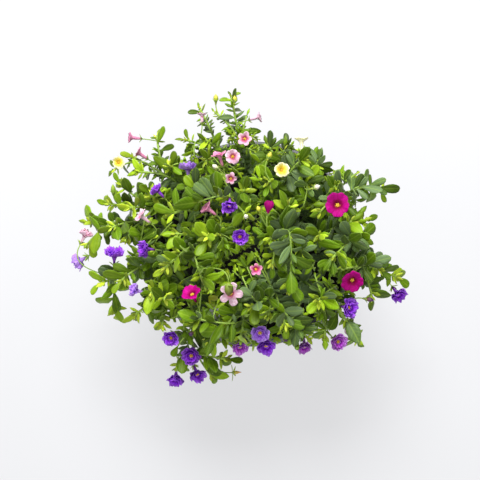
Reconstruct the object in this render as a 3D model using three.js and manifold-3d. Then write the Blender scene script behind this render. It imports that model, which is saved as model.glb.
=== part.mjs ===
// A potted calibrachoa: a tapered plastic pot of peat, leafy sprays, open blooms and a blank plant label.
// Millimetres, +Z up. The origin is the middle of the pot's foot, on the surface that it stands on.
import * as THREE from "three";
import { mergeVertices } from "three/addons/utils/BufferGeometryUtils.js";
import Module from "manifold-3d";

const wasm = await Module();
wasm.setup();

// ---------------------------------------------------------------- driving dimensions

// The pot.
const POT_HEIGHT = 130;
const RIM_RADIUS = 116;
const FOOT_RADIUS = 72;
const POT_WALL = 2.4;
const BAND_HEIGHT = 20;
const BAND_STEP = 3;
const FOOT_CHAMFER = 3;
const POT_SIDES = 32;

// The peat, and the holes that the stems stand in.
const SEAT_GAP = 0.3;
const PEAT_LEVEL = 117;
const PEAT_CROWN = 5;
const HOLE_RADIUS = 3.8;
const HOLE_DEPTH = 6;
const HOLE_SIDES = 5;

// The stems, which are slimmer at their tips.
const STEM_RADIUS = 2.1;
const SHOOT_RADIUS = 1.3;
const PEDICEL_RADIUS = 0.9;
const TIP_RADIUS = 0.9;
const ROOT_SHARE = 0.36;
const SHOOT_LENGTH = 48;
const NODE_HEIGHT = 1.8;
const ROOT_RUN = 4;
const SHORTEST_PEDICEL = 7;
const SPAN = 36;
const SIDES = 3;
const TURN = (2 * Math.PI) / SIDES;

// The leaves: how far back from a tip each one sits, how long it is, and its angle to the stem. The first
// one is the stem's own end. Shoots bear the first four, and main stems bear them all. All of it shrinks
// towards the looser growth at the back.
const LEAF_ROWS = [
  { back: 0, length: 20, pitch: 12 },
  { back: 5, length: 22, pitch: 46 },
  { back: 13, length: 29, pitch: 58 },
  { back: 24, length: 33, pitch: 66 },
  { back: 38, length: 34, pitch: 66 },
  { back: 52, length: 34, pitch: 66 },
  { back: 66, length: 34, pitch: 66 },
  { back: 80, length: 34, pitch: 66 },
];
const SHOOT_ROWS = 4;
const BROAD_ROWS = [2, 3];
const BACK_SHRINK = 0.42;
const LEAF_SLENDER = 0.52;
const LEAF_THICKNESS = 1.2;
const LEAF_SPIRAL = 137.5;
const LEAF_CLEARANCE = 1.6;
const LEAF_SEED = 20611;
const LIGHT = new THREE.Vector3(0, -0.375, 0.927).normalize();

// The dome of the foliage over the rim, which a tip's lift is measured from.
const DOME_HEIGHT = 108;
const DOME_RADIUS = 195;
const DOME_DROP = 10;

// The blooms.
const TUBE_LENGTH = 11;
const HEEL_RADIUS = 1.2;
const NECK_RADIUS = 2.6;
const LIMB_RISE = 4;
const PETAL_THICKNESS = 0.9;
const CALYX_REACH = 5;
const CALYX_GAP = 1.9;
const BUD_RADIUS = 2.4;

// The blank plant label, which leans back in the peat.
const LABEL_WIDTH = 30;
const LABEL_HEIGHT = 46;
const LABEL_CORNER = 4;
const STAKE_WIDTH = 12;
const STAKE_LENGTH = 30;
const LABEL_THICKNESS = 1.2;
const LABEL_FOOT = new THREE.Vector3(-30, -98, 104);
const LABEL_LEAN = 12;

const UP = new THREE.Vector3(0, 0, 1);

// ---------------------------------------------------------------- the planting plan

// Each spray stands in a hole of its own. Its first tip ends the main stem, and the others end its shoots.
// A tip is its place in plan and its lift over the foliage's dome: [x, y, lift].
const SPRAYS = {
  back_tip: [[-22, 124, 25], [-6, 100, 10], [-39, 106, 15], [-21, 78, 0]],
  back_left: [[-55, 112, 20], [-70, 76, 5], [-48, 69, 8], [-48, 45, 0]],
  upper_left: [[-127, 74, 0], [-100, 92, 5], [-120, 54, -8], [-147, 64, 0], [-86, 48, 0]],
  left_shoulder: [[-150, 20, 2], [-126, 6, 5], [-136, 34, 12], [-105, 18, 0]],
  left: [[-172, 8, 0], [-145, -10, 5], [-129, -22, -5], [-172, -20, 9]],
  left_low: [[-157, -60, -5], [-143, -85, -33], [-134, -66, 2], [-124, -42, -6]],
  lower_left: [[-120, -97, -10], [-103, -85, 5], [-91, -112, -10], [-87, -94, 10]],
  trailing: [[-78, -139, -52], [-76, -126, -28], [-42, -150, -50], [-25, -140, -33]],
  front_left: [[-12, -131, -5], [-45, -130, -5], [-62, -112, 5], [-26, -120, 0]],
  front_right: [[32, -119, 0], [15, -112, 0], [56, -125, -15], [-3, -108, 10]],
  lower_right: [[96, -108, -8], [108, -120, -22], [73, -123, -15], [64, -98, 10]],
  right_low: [[148, -58, 0], [130, -54, -5], [122, -81, -10], [92, -66, 10]],
  right: [[112, -30, 0], [100, -16, 5], [78, -61, 18], [116, -6, -5], [66, -36, 2]],
  upper_right: [[120, 26, 10], [107, 43, 0], [84, 20, 5], [138, 34, -5], [66, -15, 10]],
  top_right: [[50, 40, 15], [70, 44, 3], [31, 54, 10], [15, 60, 8], [58, 20, 2], [15, 15, 5]],
  middle_left: [[-74, -54, 5], [-87, -68, 15], [-44, -42, 10], [-77, -34, 8], [-48, -86, 8], [-34, -36, 2]],
  middle_back: [[-28, -4, 8], [-8, 2, 15], [-63, 11, 10], [-7, -27, 20], [-84, -16, 10], [-30, 24, 0]],
  middle_right: [[38, -41, 10], [17, -46, 8], [19, -68, 5], [51, -57, 5], [36, -12, 12], [36, -90, 3]],
};

// The petals' kinds, by the colour of their upper face.
const KINDS = {
  magenta: 0xd8008c,
  pale_pink: 0xf5cfe6,
  pink: 0xec8fbd,
  cream: 0xf7f3b8,
  violet: 0x6a22b8,
  lilac: 0xa878dc,
  purple: 0x8a1fa4,
};

// An open bloom: the middle of its limb, the compass heading and the lean of the way that it faces, in
// degrees (heading 0 is +X and 90 is +Y; lean 0 is straight up), its breadth, and its kind.
const BLOOMS = {
  bloom_magenta_right: [84, -9, 240, -90, 16, 28, "magenta"],
  bloom_magenta_low: [99, -78, 206, -90, 50, 26, "magenta"],
  bloom_magenta_left: [-61, -93, 218, 130, 30, 22, "magenta"],
  bloom_magenta_folded: [16, -13, 258, 80, 66, 13, "magenta"],
  bloom_pale_front: [-22, -97, 224, -90, 25, 25, "pale_pink"],
  bloom_pink_small: [3, -74, 231, -70, 25, 13, "pink"],
  bloom_pink_star: [-8, 64, 239, -90, 25, 15, "pale_pink"],
  bloom_pink_pair_far: [-34, 46, 242, 110, 52, 17, "pink"],
  bloom_pink_pair_near: [-20, 40, 248, -80, 22, 16, "pale_pink"],
  bloom_peach_star: [-22, 17, 245, -90, 25, 13, "pale_pink"],
  bloom_pink_side: [-47, -13, 244, 150, 62, 16, "pink"],
  bloom_pale_left: [-114, -8, 212, 150, 58, 15, "pale_pink"],
  bloom_coral: [-132, 103, 164, 180, 76, 13, "pink"],
  bloom_pink_upper_left: [-121, 74, 188, 150, 74, 13, "pink"],
  bloom_pale_top: [-52, 100, 225, 90, 70, 10, "pale_pink"],
  bloom_pale_tip: [8, 98, 222, 10, 74, 12, "pale_pink"],
  bloom_pale_far_left: [-174, -4, 156, 60, 70, 15, "pale_pink"],
  bloom_cream_left: [-140, 61, 190, -90, 22, 14, "cream"],
  bloom_cream_right: [29, 25, 249, -60, 24, 16, "cream"],
  bloom_cream_trumpet: [49, 60, 248, 90, 72, 14, "cream"],
  bloom_violet_middle: [-23, -17, 251, -90, 64, 16, "violet"],
  bloom_violet_centre: [-13, -46, 245, -90, 34, 17, "violet"],
  bloom_violet_shoulder: [-99, 19, 218, 140, 60, 14, "violet"],
  bloom_violet_left: [-141, -36, 184, 85, 50, 22, "violet"],
  bloom_violet_left_near: [-111, -43, 207, 190, 58, 17, "violet"],
  bloom_violet_low_left: [-81, -150, 96, -95, 104, 19, "violet"],
  bloom_violet_low_right: [-56, -151, 119, -70, 84, 18, "violet"],
  bloom_violet_low_top: [-63, -139, 151, -100, 36, 20, "violet"],
  bloom_violet_shaded: [-84, -122, 157, -110, 45, 18, "violet"],
  bloom_violet_right: [99, -98, 184, -30, 48, 21, "violet"],
  bloom_violet_far_right: [153, -73, 147, -60, 80, 17, "violet"],
  bloom_violet_front: [14, -137, 172, -80, 76, 20, "violet"],
  bloom_lilac_front: [7, -128, 192, -90, 40, 19, "lilac"],
  bloom_lilac_upper: [-65, 37, 235, 90, 66, 18, "lilac"],
  bloom_lilac_far_left: [-185, -32, 140, 200, 116, 19, "lilac"],
  bloom_lilac_left: [-121, -80, 189, 170, 76, 15, "lilac"],
  bloom_purple_front: [-13, -137, 172, -90, 58, 17, "purple"],
  bloom_purple_nodding: [52, -134, 160, -90, 94, 16, "purple"],
  bloom_purple_right: [88, -126, 158, -60, 40, 18, "purple"],
};

// A closed or half open bud, or a spent bloom: the middle of its foot, its heading, lean and length.
const BUDS = [
  [-144, 24, 188, 90, 40, 13],
  [-38, 114, 219, 90, 50, 11],
  [-19, 110, 226, 80, 60, 10],
  [-7, -29, 256, -90, 20, 12],
  [7, -22, 248, 120, 40, 9],
  [112, -84, 174, -20, 70, 12],
  [30, -126, 182, -60, 70, 9],
  [-59, -121, 182, -120, 60, 9],
  [-21, -147, 122, 0, 80, 10],
  [-41, -93, 221, -90, 30, 11],
  [-33, 29, 238, 150, 60, 10],
  [14, 36, 246, 60, 60, 10],
  [58, 9, 238, 10, 66, 10],
  [97, -108, 170, -95, 140, 15],
];

// ---------------------------------------------------------------- small tools

// An even draw from 0 to 1, the same on every run.
function drawsFrom(seed) {
  let state = seed;
  return () => {
    state = (state * 16807) % 2147483647;
    return state / 2147483647;
  };
}

function radians(degrees) {
  return (degrees * Math.PI) / 180;
}

// The way that a thing faces, from its compass heading and its lean.
function facing(heading, lean) {
  const flat = Math.sin(radians(lean));
  return new THREE.Vector3(
    flat * Math.cos(radians(heading)),
    flat * Math.sin(radians(heading)),
    Math.cos(radians(lean)),
  );
}

// A frame round an axis: points on circles and at heights of it.
class Frame {
  constructor(origin, axis, side) {
    const guide = Math.abs(axis.z) > 0.95 ? new THREE.Vector3(1, 0, 0) : UP;
    this.origin = origin;
    this.axis = axis;
    this.side = side ?? new THREE.Vector3().crossVectors(axis, guide).normalize();
    this.raised = new THREE.Vector3().crossVectors(axis, this.side);
  }

  outward(angle) {
    return this.side.clone().multiplyScalar(Math.cos(angle)).addScaledVector(this.raised, Math.sin(angle));
  }

  at(angle, radius, height) {
    const foot = this.origin.clone().addScaledVector(this.axis, height);
    return foot.addScaledVector(this.outward(angle), radius);
  }

  angleOf(direction) {
    return Math.atan2(direction.dot(this.raised), direction.dot(this.side));
  }
}

// The angle that points the same way as the first by whole steps, and is nearest to the second.
function nearestTurn(angle, previous, step) {
  return angle + step * Math.round((previous - angle) / step);
}

function domeHeight(x, y) {
  const share = (x * x + y * y) / (DOME_RADIUS * DOME_RADIUS);
  return POT_HEIGHT + Math.max(-DOME_DROP, DOME_HEIGHT * (1 - share));
}

// The pot's outer and inner radius at a height.
function potRadius(z) {
  const share = THREE.MathUtils.clamp(z / (POT_HEIGHT - BAND_HEIGHT), 0, 1);
  return THREE.MathUtils.lerp(FOOT_RADIUS, RIM_RADIUS - BAND_STEP, share);
}

function innerRadius(z) {
  return potRadius(z) - POT_WALL;
}

// A closed geometry as a solid that can be joined and cut.
function solidOf(geometry) {
  const bare = geometry.clone();
  bare.deleteAttribute("normal");
  bare.deleteAttribute("uv");
  const merged = mergeVertices(bare, 1e-4);
  return new wasm.Manifold(
    new wasm.Mesh({
      numProp: 3,
      vertProperties: merged.attributes.position.array,
      triVerts: new Uint32Array(merged.index.array),
    }),
  );
}

function geometryOf(solid) {
  const mesh = solid.getMesh();
  return new THREE.BufferGeometry()
    .setAttribute("position", new THREE.BufferAttribute(mesh.vertProperties, 3))
    .setIndex(new THREE.BufferAttribute(mesh.triVerts, 1));
}

// A closed skin that is built ring by ring. A ring is a list of point numbers that run anticlockwise
// about the way that the skin grows.
class Skin {
  constructor() {
    this.points = [];
    this.faces = [];
  }

  ring(points) {
    const first = this.points.length;
    this.points.push(...points);
    return points.map((_, index) => first + index);
  }

  bridge(lower, upper) {
    const count = Math.max(lower.length, upper.length);
    for (let i = 0; i < count; i += 1) {
      const a = lower[Math.floor((i * lower.length) / count)];
      const b = lower[Math.floor(((i + 1) * lower.length) / count) % lower.length];
      const c = upper[Math.floor((i * upper.length) / count)];
      const d = upper[Math.floor(((i + 1) * upper.length) / count) % upper.length];
      if (a !== b) this.faces.push(a, b, c);
      if (c !== d) this.faces.push(b, d, c);
    }
  }

  // Bridges two rings, starting where they lie nearest to each other.
  bridgeNearest(lower, upper) {
    let best = null;
    for (let shift = 0; shift < lower.length; shift += 1) {
      const turned = lower.map((_, index) => lower[(index + shift) % lower.length]);
      let cost = 0;
      turned.forEach((point, index) => {
        const partner = upper[Math.floor((index * upper.length) / lower.length)];
        cost += this.points[point].distanceToSquared(this.points[partner]);
      });
      if (!best || cost < best.cost) best = { cost, turned };
    }
    this.bridge(best.turned, upper);
  }

  capStart(ring) {
    for (let i = 1; i + 1 < ring.length; i += 1) this.faces.push(ring[0], ring[i + 1], ring[i]);
  }

  solid() {
    const flat = this.points.flatMap((point) => point.toArray());
    const geometry = new THREE.BufferGeometry()
      .setAttribute("position", new THREE.Float32BufferAttribute(flat, 3))
      .setIndex(this.faces);
    return solidOf(geometry);
  }
}

function part(name, geometry, colour, roughness) {
  const material = new THREE.MeshStandardMaterial({ color: colour, roughness, metalness: 0 });
  const mesh = new THREE.Mesh(geometry, material);
  mesh.name = name;
  return mesh;
}

// ---------------------------------------------------------------- leaves

// One leaf blade: a root in its stem, the way that it runs, the way that its upper face looks, and its form.
class Leaf {
  constructor(root, run, face, { length, width, arch, slim }) {
    Object.assign(this, { root, run, face, length, width, arch, slim });
    this.side = new THREE.Vector3().crossVectors(face, run).normalize();
  }

  // A point of the blade: its share of the length, of the half width, and its height over the middle face.
  at(share, across, over) {
    const aside = across * this.width * 0.5;
    const raise = over - this.arch * this.length * share * share;
    return this.root
      .clone()
      .addScaledVector(this.run, share * this.length)
      .addScaledVector(this.side, aside)
      .addScaledVector(this.face, raise);
  }

  // The points that are tested for room.
  feelers() {
    const places = [[0.15, 0], [0.35, 0], [0.35, 0.8], [0.35, -0.8], [0.7, 0], [0.7, 1], [0.7, -1]];
    places.push([0.88, 0.5], [0.88, -0.5], [1, 0]);
    return places.map(([share, across]) => this.at(share, across, 0));
  }

  // The blade's middle face as triangles, and its ribs and edges as lines, lifted a little over or under it.
  panes(over) {
    const root = this.at(0.06, 0, over);
    const tip = this.at(1, 0, over);
    const [a, b, c] = [0.78, 0, -0.78].map((across) => this.at(0.36, across, over));
    const [d, e, f] = [0.96, 0, -0.96].map((across) => this.at(0.72, across, over));
    const lower = [[root, a, b], [root, b, c], [a, d, b], [b, d, e]];
    const upper = [[b, e, c], [c, e, f], [d, tip, e], [e, tip, f]];
    const faces = [...lower, ...upper];
    const lines = [[root, a], [a, d], [d, tip], [root, b], [b, e], [e, tip], [root, c], [c, f], [f, tip]];
    return { faces, lines };
  }

  // Adds the blade to a skin, from the ring that it grows out of: sharp edged, flat below, keeled above and
  // widest past its middle.
  growFrom(skin, ring) {
    const stations = this.slim ? [[0.52, 1]] : [[0.36, 0.8], [0.72, 0.95]];
    let last = ring;
    for (const [share, across] of stations) {
      const next = skin.ring([
        this.at(share, across, 0),
        this.at(share, 0, LEAF_THICKNESS),
        this.at(share, -across, 0),
      ]);
      if (last === ring) skin.bridgeNearest(ring, next);
      else skin.bridge(last, next);
      last = next;
    }
    skin.bridge(last, skin.ring([this.at(1, 0, LEAF_THICKNESS / 3)]));
  }
}

// Six times the volume between four points, with a sign for the side that the last one is on.
function volumeOf(a, b, c, d) {
  const u = b.clone().sub(a);
  const v = c.clone().sub(a);
  return u.cross(v).dot(d.clone().sub(a));
}

// True where a line from p to q passes through a triangle.
function pierces([p, q], [a, b, c]) {
  if (volumeOf(a, b, c, p) > 0 === volumeOf(a, b, c, q) > 0) return false;
  const turn = volumeOf(p, q, a, b) > 0;
  return turn === volumeOf(p, q, b, c) > 0 && turn === volumeOf(p, q, c, a) > 0;
}

// True where two blades cross, or lie closer than they are thick.
function cross(leaf, other) {
  if (leaf.at(0.5, 0, 0).distanceTo(other.at(0.5, 0, 0)) > (leaf.length + other.length) * 0.6) return false;
  const still = other.panes(0);
  return [-LEAF_THICKNESS, 0, LEAF_THICKNESS].some((over) => {
    const moved = leaf.panes(over);
    const through = moved.lines.some((line) => still.faces.some((face) => pierces(line, face)));
    return through || still.lines.some((line) => moved.faces.some((face) => pierces(line, face)));
  });
}

// ---------------------------------------------------------------- stems

// True where a blade is crossed or touched by a stem that it doesn't grow from.
function meets(leaf, stem) {
  if (stem.distance(leaf.at(0.5, 0, 0)) > leaf.length) return false;
  if (leaf.feelers().some((point) => stem.distance(point) < stem.radius + LEAF_THICKNESS)) return true;
  const { faces } = leaf.panes(0);
  const spans = stem.chain.slice(1).map((point, i) => [stem.chain[i], point]);
  return spans.some((span) => faces.some((face) => pierces(span, face)));
}

// A length of stem with its leaves: an arc in one plane, and the chain of points that others keep clear of.
class Stem {
  constructor(start, bend, end, radius) {
    Object.assign(this, { start, bend, end, radius });
    this.chain = [0, 1, 2, 3, 4, 5, 6].map((step) => this.pointAt(step / 6));
    this.length = 0;
    for (let i = 1; i <= 6; i += 1) this.length += this.chain[i].distanceTo(this.chain[i - 1]);
    this.leaves = [];
    this.joints = [];
    this.side = new THREE.Vector3()
      .crossVectors(bend.clone().sub(start), end.clone().sub(start))
      .normalize();
  }

  pointAt(share) {
    return this.start
      .clone()
      .multiplyScalar((1 - share) ** 2)
      .addScaledVector(this.bend, 2 * share * (1 - share))
      .addScaledVector(this.end, share * share);
  }

  tangentAt(share) {
    const first = this.bend.clone().sub(this.start).multiplyScalar(1 - share);
    return first.addScaledVector(this.end.clone().sub(this.bend), share).normalize();
  }

  frameAt(share) {
    return new Frame(this.pointAt(share), this.tangentAt(share), this.side);
  }

  radiusAt(share) {
    return THREE.MathUtils.lerp(this.radius, Math.min(this.radius, TIP_RADIUS), share);
  }

  ringAt(skin, share, phase) {
    const frame = this.frameAt(share);
    const radius = this.radiusAt(share);
    return skin.ring(Array.from({ length: SIDES }, (_, i) => frame.at(phase + i * TURN, radius, 0)));
  }

  // Carries the tube on from one share to just short of another, with a ring at each joint and no span too
  // long, and gives back the last ring.
  carry(skin, ring, phase, from, to) {
    const near = 1.5 / this.length;
    const joints = [...new Set(this.joints)].filter((joint) => joint > from + near && joint < to - near);
    const marks = [from, ...joints.sort((a, b) => a - b), to];
    const stops = marks.slice(1).flatMap((mark, i) => {
      const spans = Math.ceil(((mark - marks[i]) * this.length) / SPAN);
      return Array.from({ length: spans }, (_, k) => THREE.MathUtils.lerp(marks[i], mark, (k + 1) / spans));
    });
    return stops.slice(0, -1).reduce((last, stop) => {
      const next = this.ringAt(skin, stop, phase);
      skin.bridge(last, next);
      return next;
    }, ring);
  }

  // The tube as one skin, with each leaf growing out of one side of it between two close rings. The end
  // is closed by what grows there: a leaf, a calyx or a bud.
  solid(finish) {
    const skin = new Skin();
    const half = NODE_HEIGHT / 2 / this.length;
    const upright = this.foot && new Frame(this.foot, UP, this.side);
    const below = upright && Array.from({ length: SIDES }, (_, i) => upright.at(i * TURN, this.radius, 0));
    const sunk = skin.ring(below ?? [this.start]);
    skin.capStart(sunk);
    let phase = 0;
    let share = this.foot ? 0 : ROOT_RUN / this.length;
    let ring = this.ringAt(skin, share, phase);
    skin.bridge(sunk, ring);
    for (const { leaf, at } of this.leaves) {
      ring = this.carry(skin, ring, phase, share, at - half);
      const outward = this.frameAt(at).angleOf(leaf.run);
      const previous = phase;
      phase = nearestTurn(outward - TURN / 2, previous, TURN);
      const open = Math.round((outward - TURN / 2 - phase) / TURN);
      const lower = this.ringAt(skin, at - half, phase);
      const upper = this.ringAt(skin, at + half, phase);
      skin.bridge(ring, lower);
      for (let i = 0; i < SIDES; i += 1) {
        const next = (i + 1) % SIDES;
        const side = [lower[i], lower[next], upper[next], upper[i]];
        if (i === (open + SIDES) % SIDES) leaf.growFrom(skin, side);
        else skin.faces.push(side[0], side[1], side[3], side[1], side[2], side[3]);
      }
      ring = upper;
      share = at + half;
    }
    finish(skin, this, ring, phase, share);
    return skin.solid();
  }

  // The distance from a point to this stem's chain.
  distance(point) {
    let nearest = Infinity;
    const line = new THREE.Line3();
    const foot = new THREE.Vector3();
    for (let i = 1; i < this.chain.length; i += 1) {
      line.set(this.chain[i - 1], this.chain[i]);
      line.closestPointToPoint(point, true, foot);
      nearest = Math.min(nearest, foot.distanceTo(point));
    }
    return nearest;
  }
}

// Carries a stem's tube on to its end, and gives back the last ring, turned to have a corner at an angle.
function runOut(skin, stem, ring, phase, share, wanted) {
  const last = stem.carry(skin, ring, phase, share, 1);
  const end = stem.ringAt(skin, 1, nearestTurn(wanted, phase, TURN));
  skin.bridge(last, end);
  return end;
}

// A stem's end, drawn out into its last leaf.
function endInLeaf(leaf) {
  return (skin, stem, ring, phase, share) => {
    const turn = stem.frameAt(1).angleOf(leaf.face);
    leaf.growFrom(skin, runOut(skin, stem, ring, phase, share, turn));
  };
}

// A pedicel's end, opened into a five-sided calyx round the foot of a bloom's tube.
function endInCalyx(reach) {
  return (skin, stem, ring, phase, share) => {
    const end = runOut(skin, stem, ring, phase, share, phase);
    const frame = stem.frameAt(1);
    const fifth = (2 * Math.PI) / 5;
    const cup = skin.ring([0, 1, 2, 3, 4].map((i) => frame.at(phase + i * fifth, 0.9 * reach, 0.8 * reach)));
    skin.bridge(end, cup);
    skin.bridge(cup, skin.ring([frame.at(0, 0, 0.3)]));
  };
}

// A pedicel's end, swollen into a bud.
function endInBud(length) {
  return (skin, stem, ring, phase, share) => {
    const end = runOut(skin, stem, ring, phase, share, phase);
    const frame = stem.frameAt(1);
    const belly = Array.from({ length: 5 }, (_, i) =>
      frame.at(phase + (2 * Math.PI * i) / 5, BUD_RADIUS, length * 0.62),
    );
    const widest = skin.ring(belly);
    skin.bridge(end, widest);
    skin.bridge(widest, skin.ring([frame.at(0, 0, length)]));
  };
}

// A main stem rises straight out of its hole, arches over and ends at its tip.
function mainStem(tip) {
  const root = new THREE.Vector3(tip.x * ROOT_SHARE, tip.y * ROOT_SHARE, PEAT_LEVEL + PEAT_CROWN + 1);
  const crown = root.clone().lerp(tip, 0.3);
  crown.z = Math.max(tip.z, POT_HEIGHT + 30) + 0.1 * Math.hypot(tip.x - root.x, tip.y - root.y);
  const stem = new Stem(root, crown, tip, STEM_RADIUS);
  stem.foot = root.clone().setZ(PEAT_LEVEL - HOLE_DEPTH + SEAT_GAP);
  return stem;
}

// A shoot leaves the main stem about its own length short of its tip.
function shootTo(tip, main) {
  let best = null;
  for (const share of [0.3, 0.4, 0.5, 0.6, 0.7, 0.8]) {
    const start = main.pointAt(share);
    const miss = Math.abs(start.distanceTo(tip) - SHOOT_LENGTH);
    if (!best || miss < best.miss) best = { miss, share, start };
  }
  main.joints.push(best.share);
  const way = main.tangentAt(best.share).add(UP).normalize();
  const bend = best.start.clone().addScaledVector(way, 0.5 * best.start.distanceTo(tip));
  return new Stem(best.start, bend, tip, SHOOT_RADIUS);
}

// A pedicel leaves the nearest shoot and arrives at a flower's foot along the flower's own axis.
function pedicelTo(foot, axis, sprays) {
  const ahead = foot.clone().addScaledVector(axis, -10);
  let best = null;
  for (const spray of sprays) {
    for (const stem of spray.stems) {
      for (const share of [0.5, 0.6, 0.7, 0.8, 0.88]) {
        const start = stem.pointAt(share);
        const behind = foot.clone().sub(start).dot(axis);
        const cost = start.distanceTo(ahead) + (behind < SHORTEST_PEDICEL ? 100 : 0);
        if (!best || cost < best.cost) best = { cost, start, stem, share, spray };
      }
    }
  }
  const bend = foot.clone().addScaledVector(axis, -0.5 * best.start.distanceTo(foot));
  const pedicel = new Stem(best.start, bend, foot, PEDICEL_RADIUS);
  best.stem.joints.push(best.share);
  best.spray.pedicels.push(pedicel);
  return pedicel;
}

// ---------------------------------------------------------------- blooms

// An open bloom: a narrow tube that flares into five broad lobes, faced along its axis.
class Bloom {
  constructor(name, [x, y, z, heading, lean, breadth, kind]) {
    this.name = name;
    this.kind = kind;
    this.radius = breadth / 2;
    this.axis = facing(heading, lean);
    this.limb = new THREE.Vector3(x, y, z);
    this.tube = Math.min(TUBE_LENGTH, breadth * 0.8);
    this.rise = LIMB_RISE * Math.min(1, breadth / 20);
    this.foot = this.limb.clone().addScaledVector(this.axis, -this.tube - this.rise);
  }

  solid() {
    const skin = new Skin();
    const frame = new Frame(this.foot, this.axis);
    const top = this.tube + this.rise;
    const fold = 0.65 * this.rise + this.tube;
    const circle = (count, radiusAt, heightAt) =>
      skin.ring(
        Array.from({ length: count }, (_, i) =>
          frame.at((2 * Math.PI * i) / count, radiusAt(i), heightAt(i)),
        ),
      );
    const heel = circle(5, () => HEEL_RADIUS, () => 0);
    const neck = circle(5, () => NECK_RADIUS, () => this.tube * 0.85);
    const under = circle(5, () => this.radius * 0.6, () => fold - PETAL_THICKNESS);
    const steps = this.radius < 9 ? 2 : 3;
    const edge = circle(
      5 * steps,
      (i) => this.radius * (i % steps === 0 ? 0.82 : 1),
      (i) => top - (i % steps === 0 ? 0.5 : 0),
    );
    const over = circle(5, () => this.radius * 0.6, () => fold);
    const throat = circle(1, () => 0, () => this.tube * 0.85);
    skin.capStart(heel);
    skin.bridge(heel, neck);
    skin.bridge(neck, under);
    skin.bridge(under, edge);
    skin.bridge(edge, over);
    skin.bridge(over, throat);
    return skin.solid();
  }

  // True where a leaf at this point would cross the bloom, or lie across its face on the lit side.
  crowds(point) {
    const apart = point.clone().sub(this.foot);
    const height = apart.dot(this.axis);
    const aside = apart.addScaledVector(this.axis, -height).length();
    const room = height < this.tube * 0.5 ? 5.5 : this.radius + 3;
    if (height > -5 && height < this.tube + this.rise + 4 && aside < room) return true;
    const above = point.clone().sub(this.limb);
    const lit = above.dot(LIGHT);
    return lit > 0 && above.addScaledVector(LIGHT, -lit).length() < 0.8 * this.radius;
  }
}

// ---------------------------------------------------------------- the pot, the peat and the label

function turned(profile, sides) {
  const lathe = new THREE.LatheGeometry(
    profile.map(([radius, height]) => new THREE.Vector2(radius, height)),
    sides,
  );
  return solidOf(lathe.rotateX(Math.PI / 2));
}

const BAND_FOOT = POT_HEIGHT - BAND_HEIGHT;

function potSolid() {
  return turned(
    [
      [0, 0],
      [FOOT_RADIUS - FOOT_CHAMFER, 0],
      [potRadius(FOOT_CHAMFER), FOOT_CHAMFER],
      [potRadius(BAND_FOOT), BAND_FOOT],
      [RIM_RADIUS - 1, BAND_FOOT + 1],
      [RIM_RADIUS, POT_HEIGHT - 1.5],
      [RIM_RADIUS - 1.5, POT_HEIGHT],
      [innerRadius(BAND_FOOT), POT_HEIGHT],
      [innerRadius(BAND_FOOT), BAND_FOOT],
      [innerRadius(POT_WALL), POT_WALL],
      [0, POT_WALL],
    ],
    POT_SIDES,
  );
}

function peatSolid(holes) {
  const floor = POT_WALL + SEAT_GAP;
  const outer = innerRadius(BAND_FOOT) - 1.5 * SEAT_GAP;
  const peat = turned(
    [
      [0, floor],
      [innerRadius(floor) - 1.5 * SEAT_GAP, floor],
      [outer, BAND_FOOT],
      [outer, PEAT_LEVEL - 2],
      [outer * 0.75, PEAT_LEVEL + PEAT_CROWN * 0.6],
      [0, PEAT_LEVEL + PEAT_CROWN],
    ],
    POT_SIDES,
  );
  return holes.reduce((solid, hole) => solid.subtract(hole), peat);
}

// The hole that a main stem stands in.
function holeFor(root) {
  const depth = HOLE_DEPTH + PEAT_CROWN + 2;
  const hole = new THREE.CylinderGeometry(HOLE_RADIUS, HOLE_RADIUS, depth, HOLE_SIDES);
  hole.rotateX(Math.PI / 2);
  hole.translate(root.x, root.y, PEAT_LEVEL - HOLE_DEPTH + depth / 2);
  return solidOf(hole);
}

// The label and the slot for its stake are the same plate, once at its size and once a gap larger.
const labelPlace = new THREE.Object3D();
labelPlace.position.copy(LABEL_FOOT);
labelPlace.rotation.x = radians(90 - LABEL_LEAN);
labelPlace.updateMatrixWorld(true);

function labelSolid(gap) {
  const half = LABEL_WIDTH / 2 + gap;
  const stake = STAKE_WIDTH / 2 + gap;
  const top = STAKE_LENGTH + LABEL_HEIGHT + gap;
  const outline = new THREE.Shape();
  outline.moveTo(-1 - gap, -gap);
  outline.lineTo(1 + gap, -gap);
  outline.lineTo(stake, 8 - gap);
  outline.lineTo(stake, STAKE_LENGTH - 4 - gap);
  outline.lineTo(half, STAKE_LENGTH + 6 - gap);
  outline.lineTo(half, top - LABEL_CORNER);
  outline.lineTo(half - LABEL_CORNER, top);
  outline.lineTo(-half + LABEL_CORNER, top);
  outline.lineTo(-half, top - LABEL_CORNER);
  outline.lineTo(-half, STAKE_LENGTH + 6 - gap);
  outline.lineTo(-stake, STAKE_LENGTH - 4 - gap);
  outline.lineTo(-stake, 8 - gap);
  outline.closePath();
  const depth = LABEL_THICKNESS + 2 * gap;
  const plate = new THREE.ExtrudeGeometry(outline, { depth, bevelEnabled: false });
  plate.translate(0, 0, -depth / 2);
  return solidOf(plate.applyMatrix4(labelPlace.matrixWorld));
}

function nearLabel(point) {
  const local = labelPlace.worldToLocal(point.clone());
  const beside = Math.abs(local.x) < LABEL_WIDTH / 2 + 2;
  return beside && Math.abs(local.z) < 3 && local.y > 0 && local.y < STAKE_LENGTH + LABEL_HEIGHT + 2;
}

// ---------------------------------------------------------------- growing the plant

function tipAt([x, y, lift]) {
  return new THREE.Vector3(x, y, domeHeight(x, y) + lift);
}

const sprays = Object.entries(SPRAYS).map(([name, tips]) => {
  const [first, ...rest] = tips.map(tipAt);
  const main = mainStem(first);
  return { name, stems: [main, ...rest.map((tip) => shootTo(tip, main))], pedicels: [], leaves: [] };
});

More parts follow.
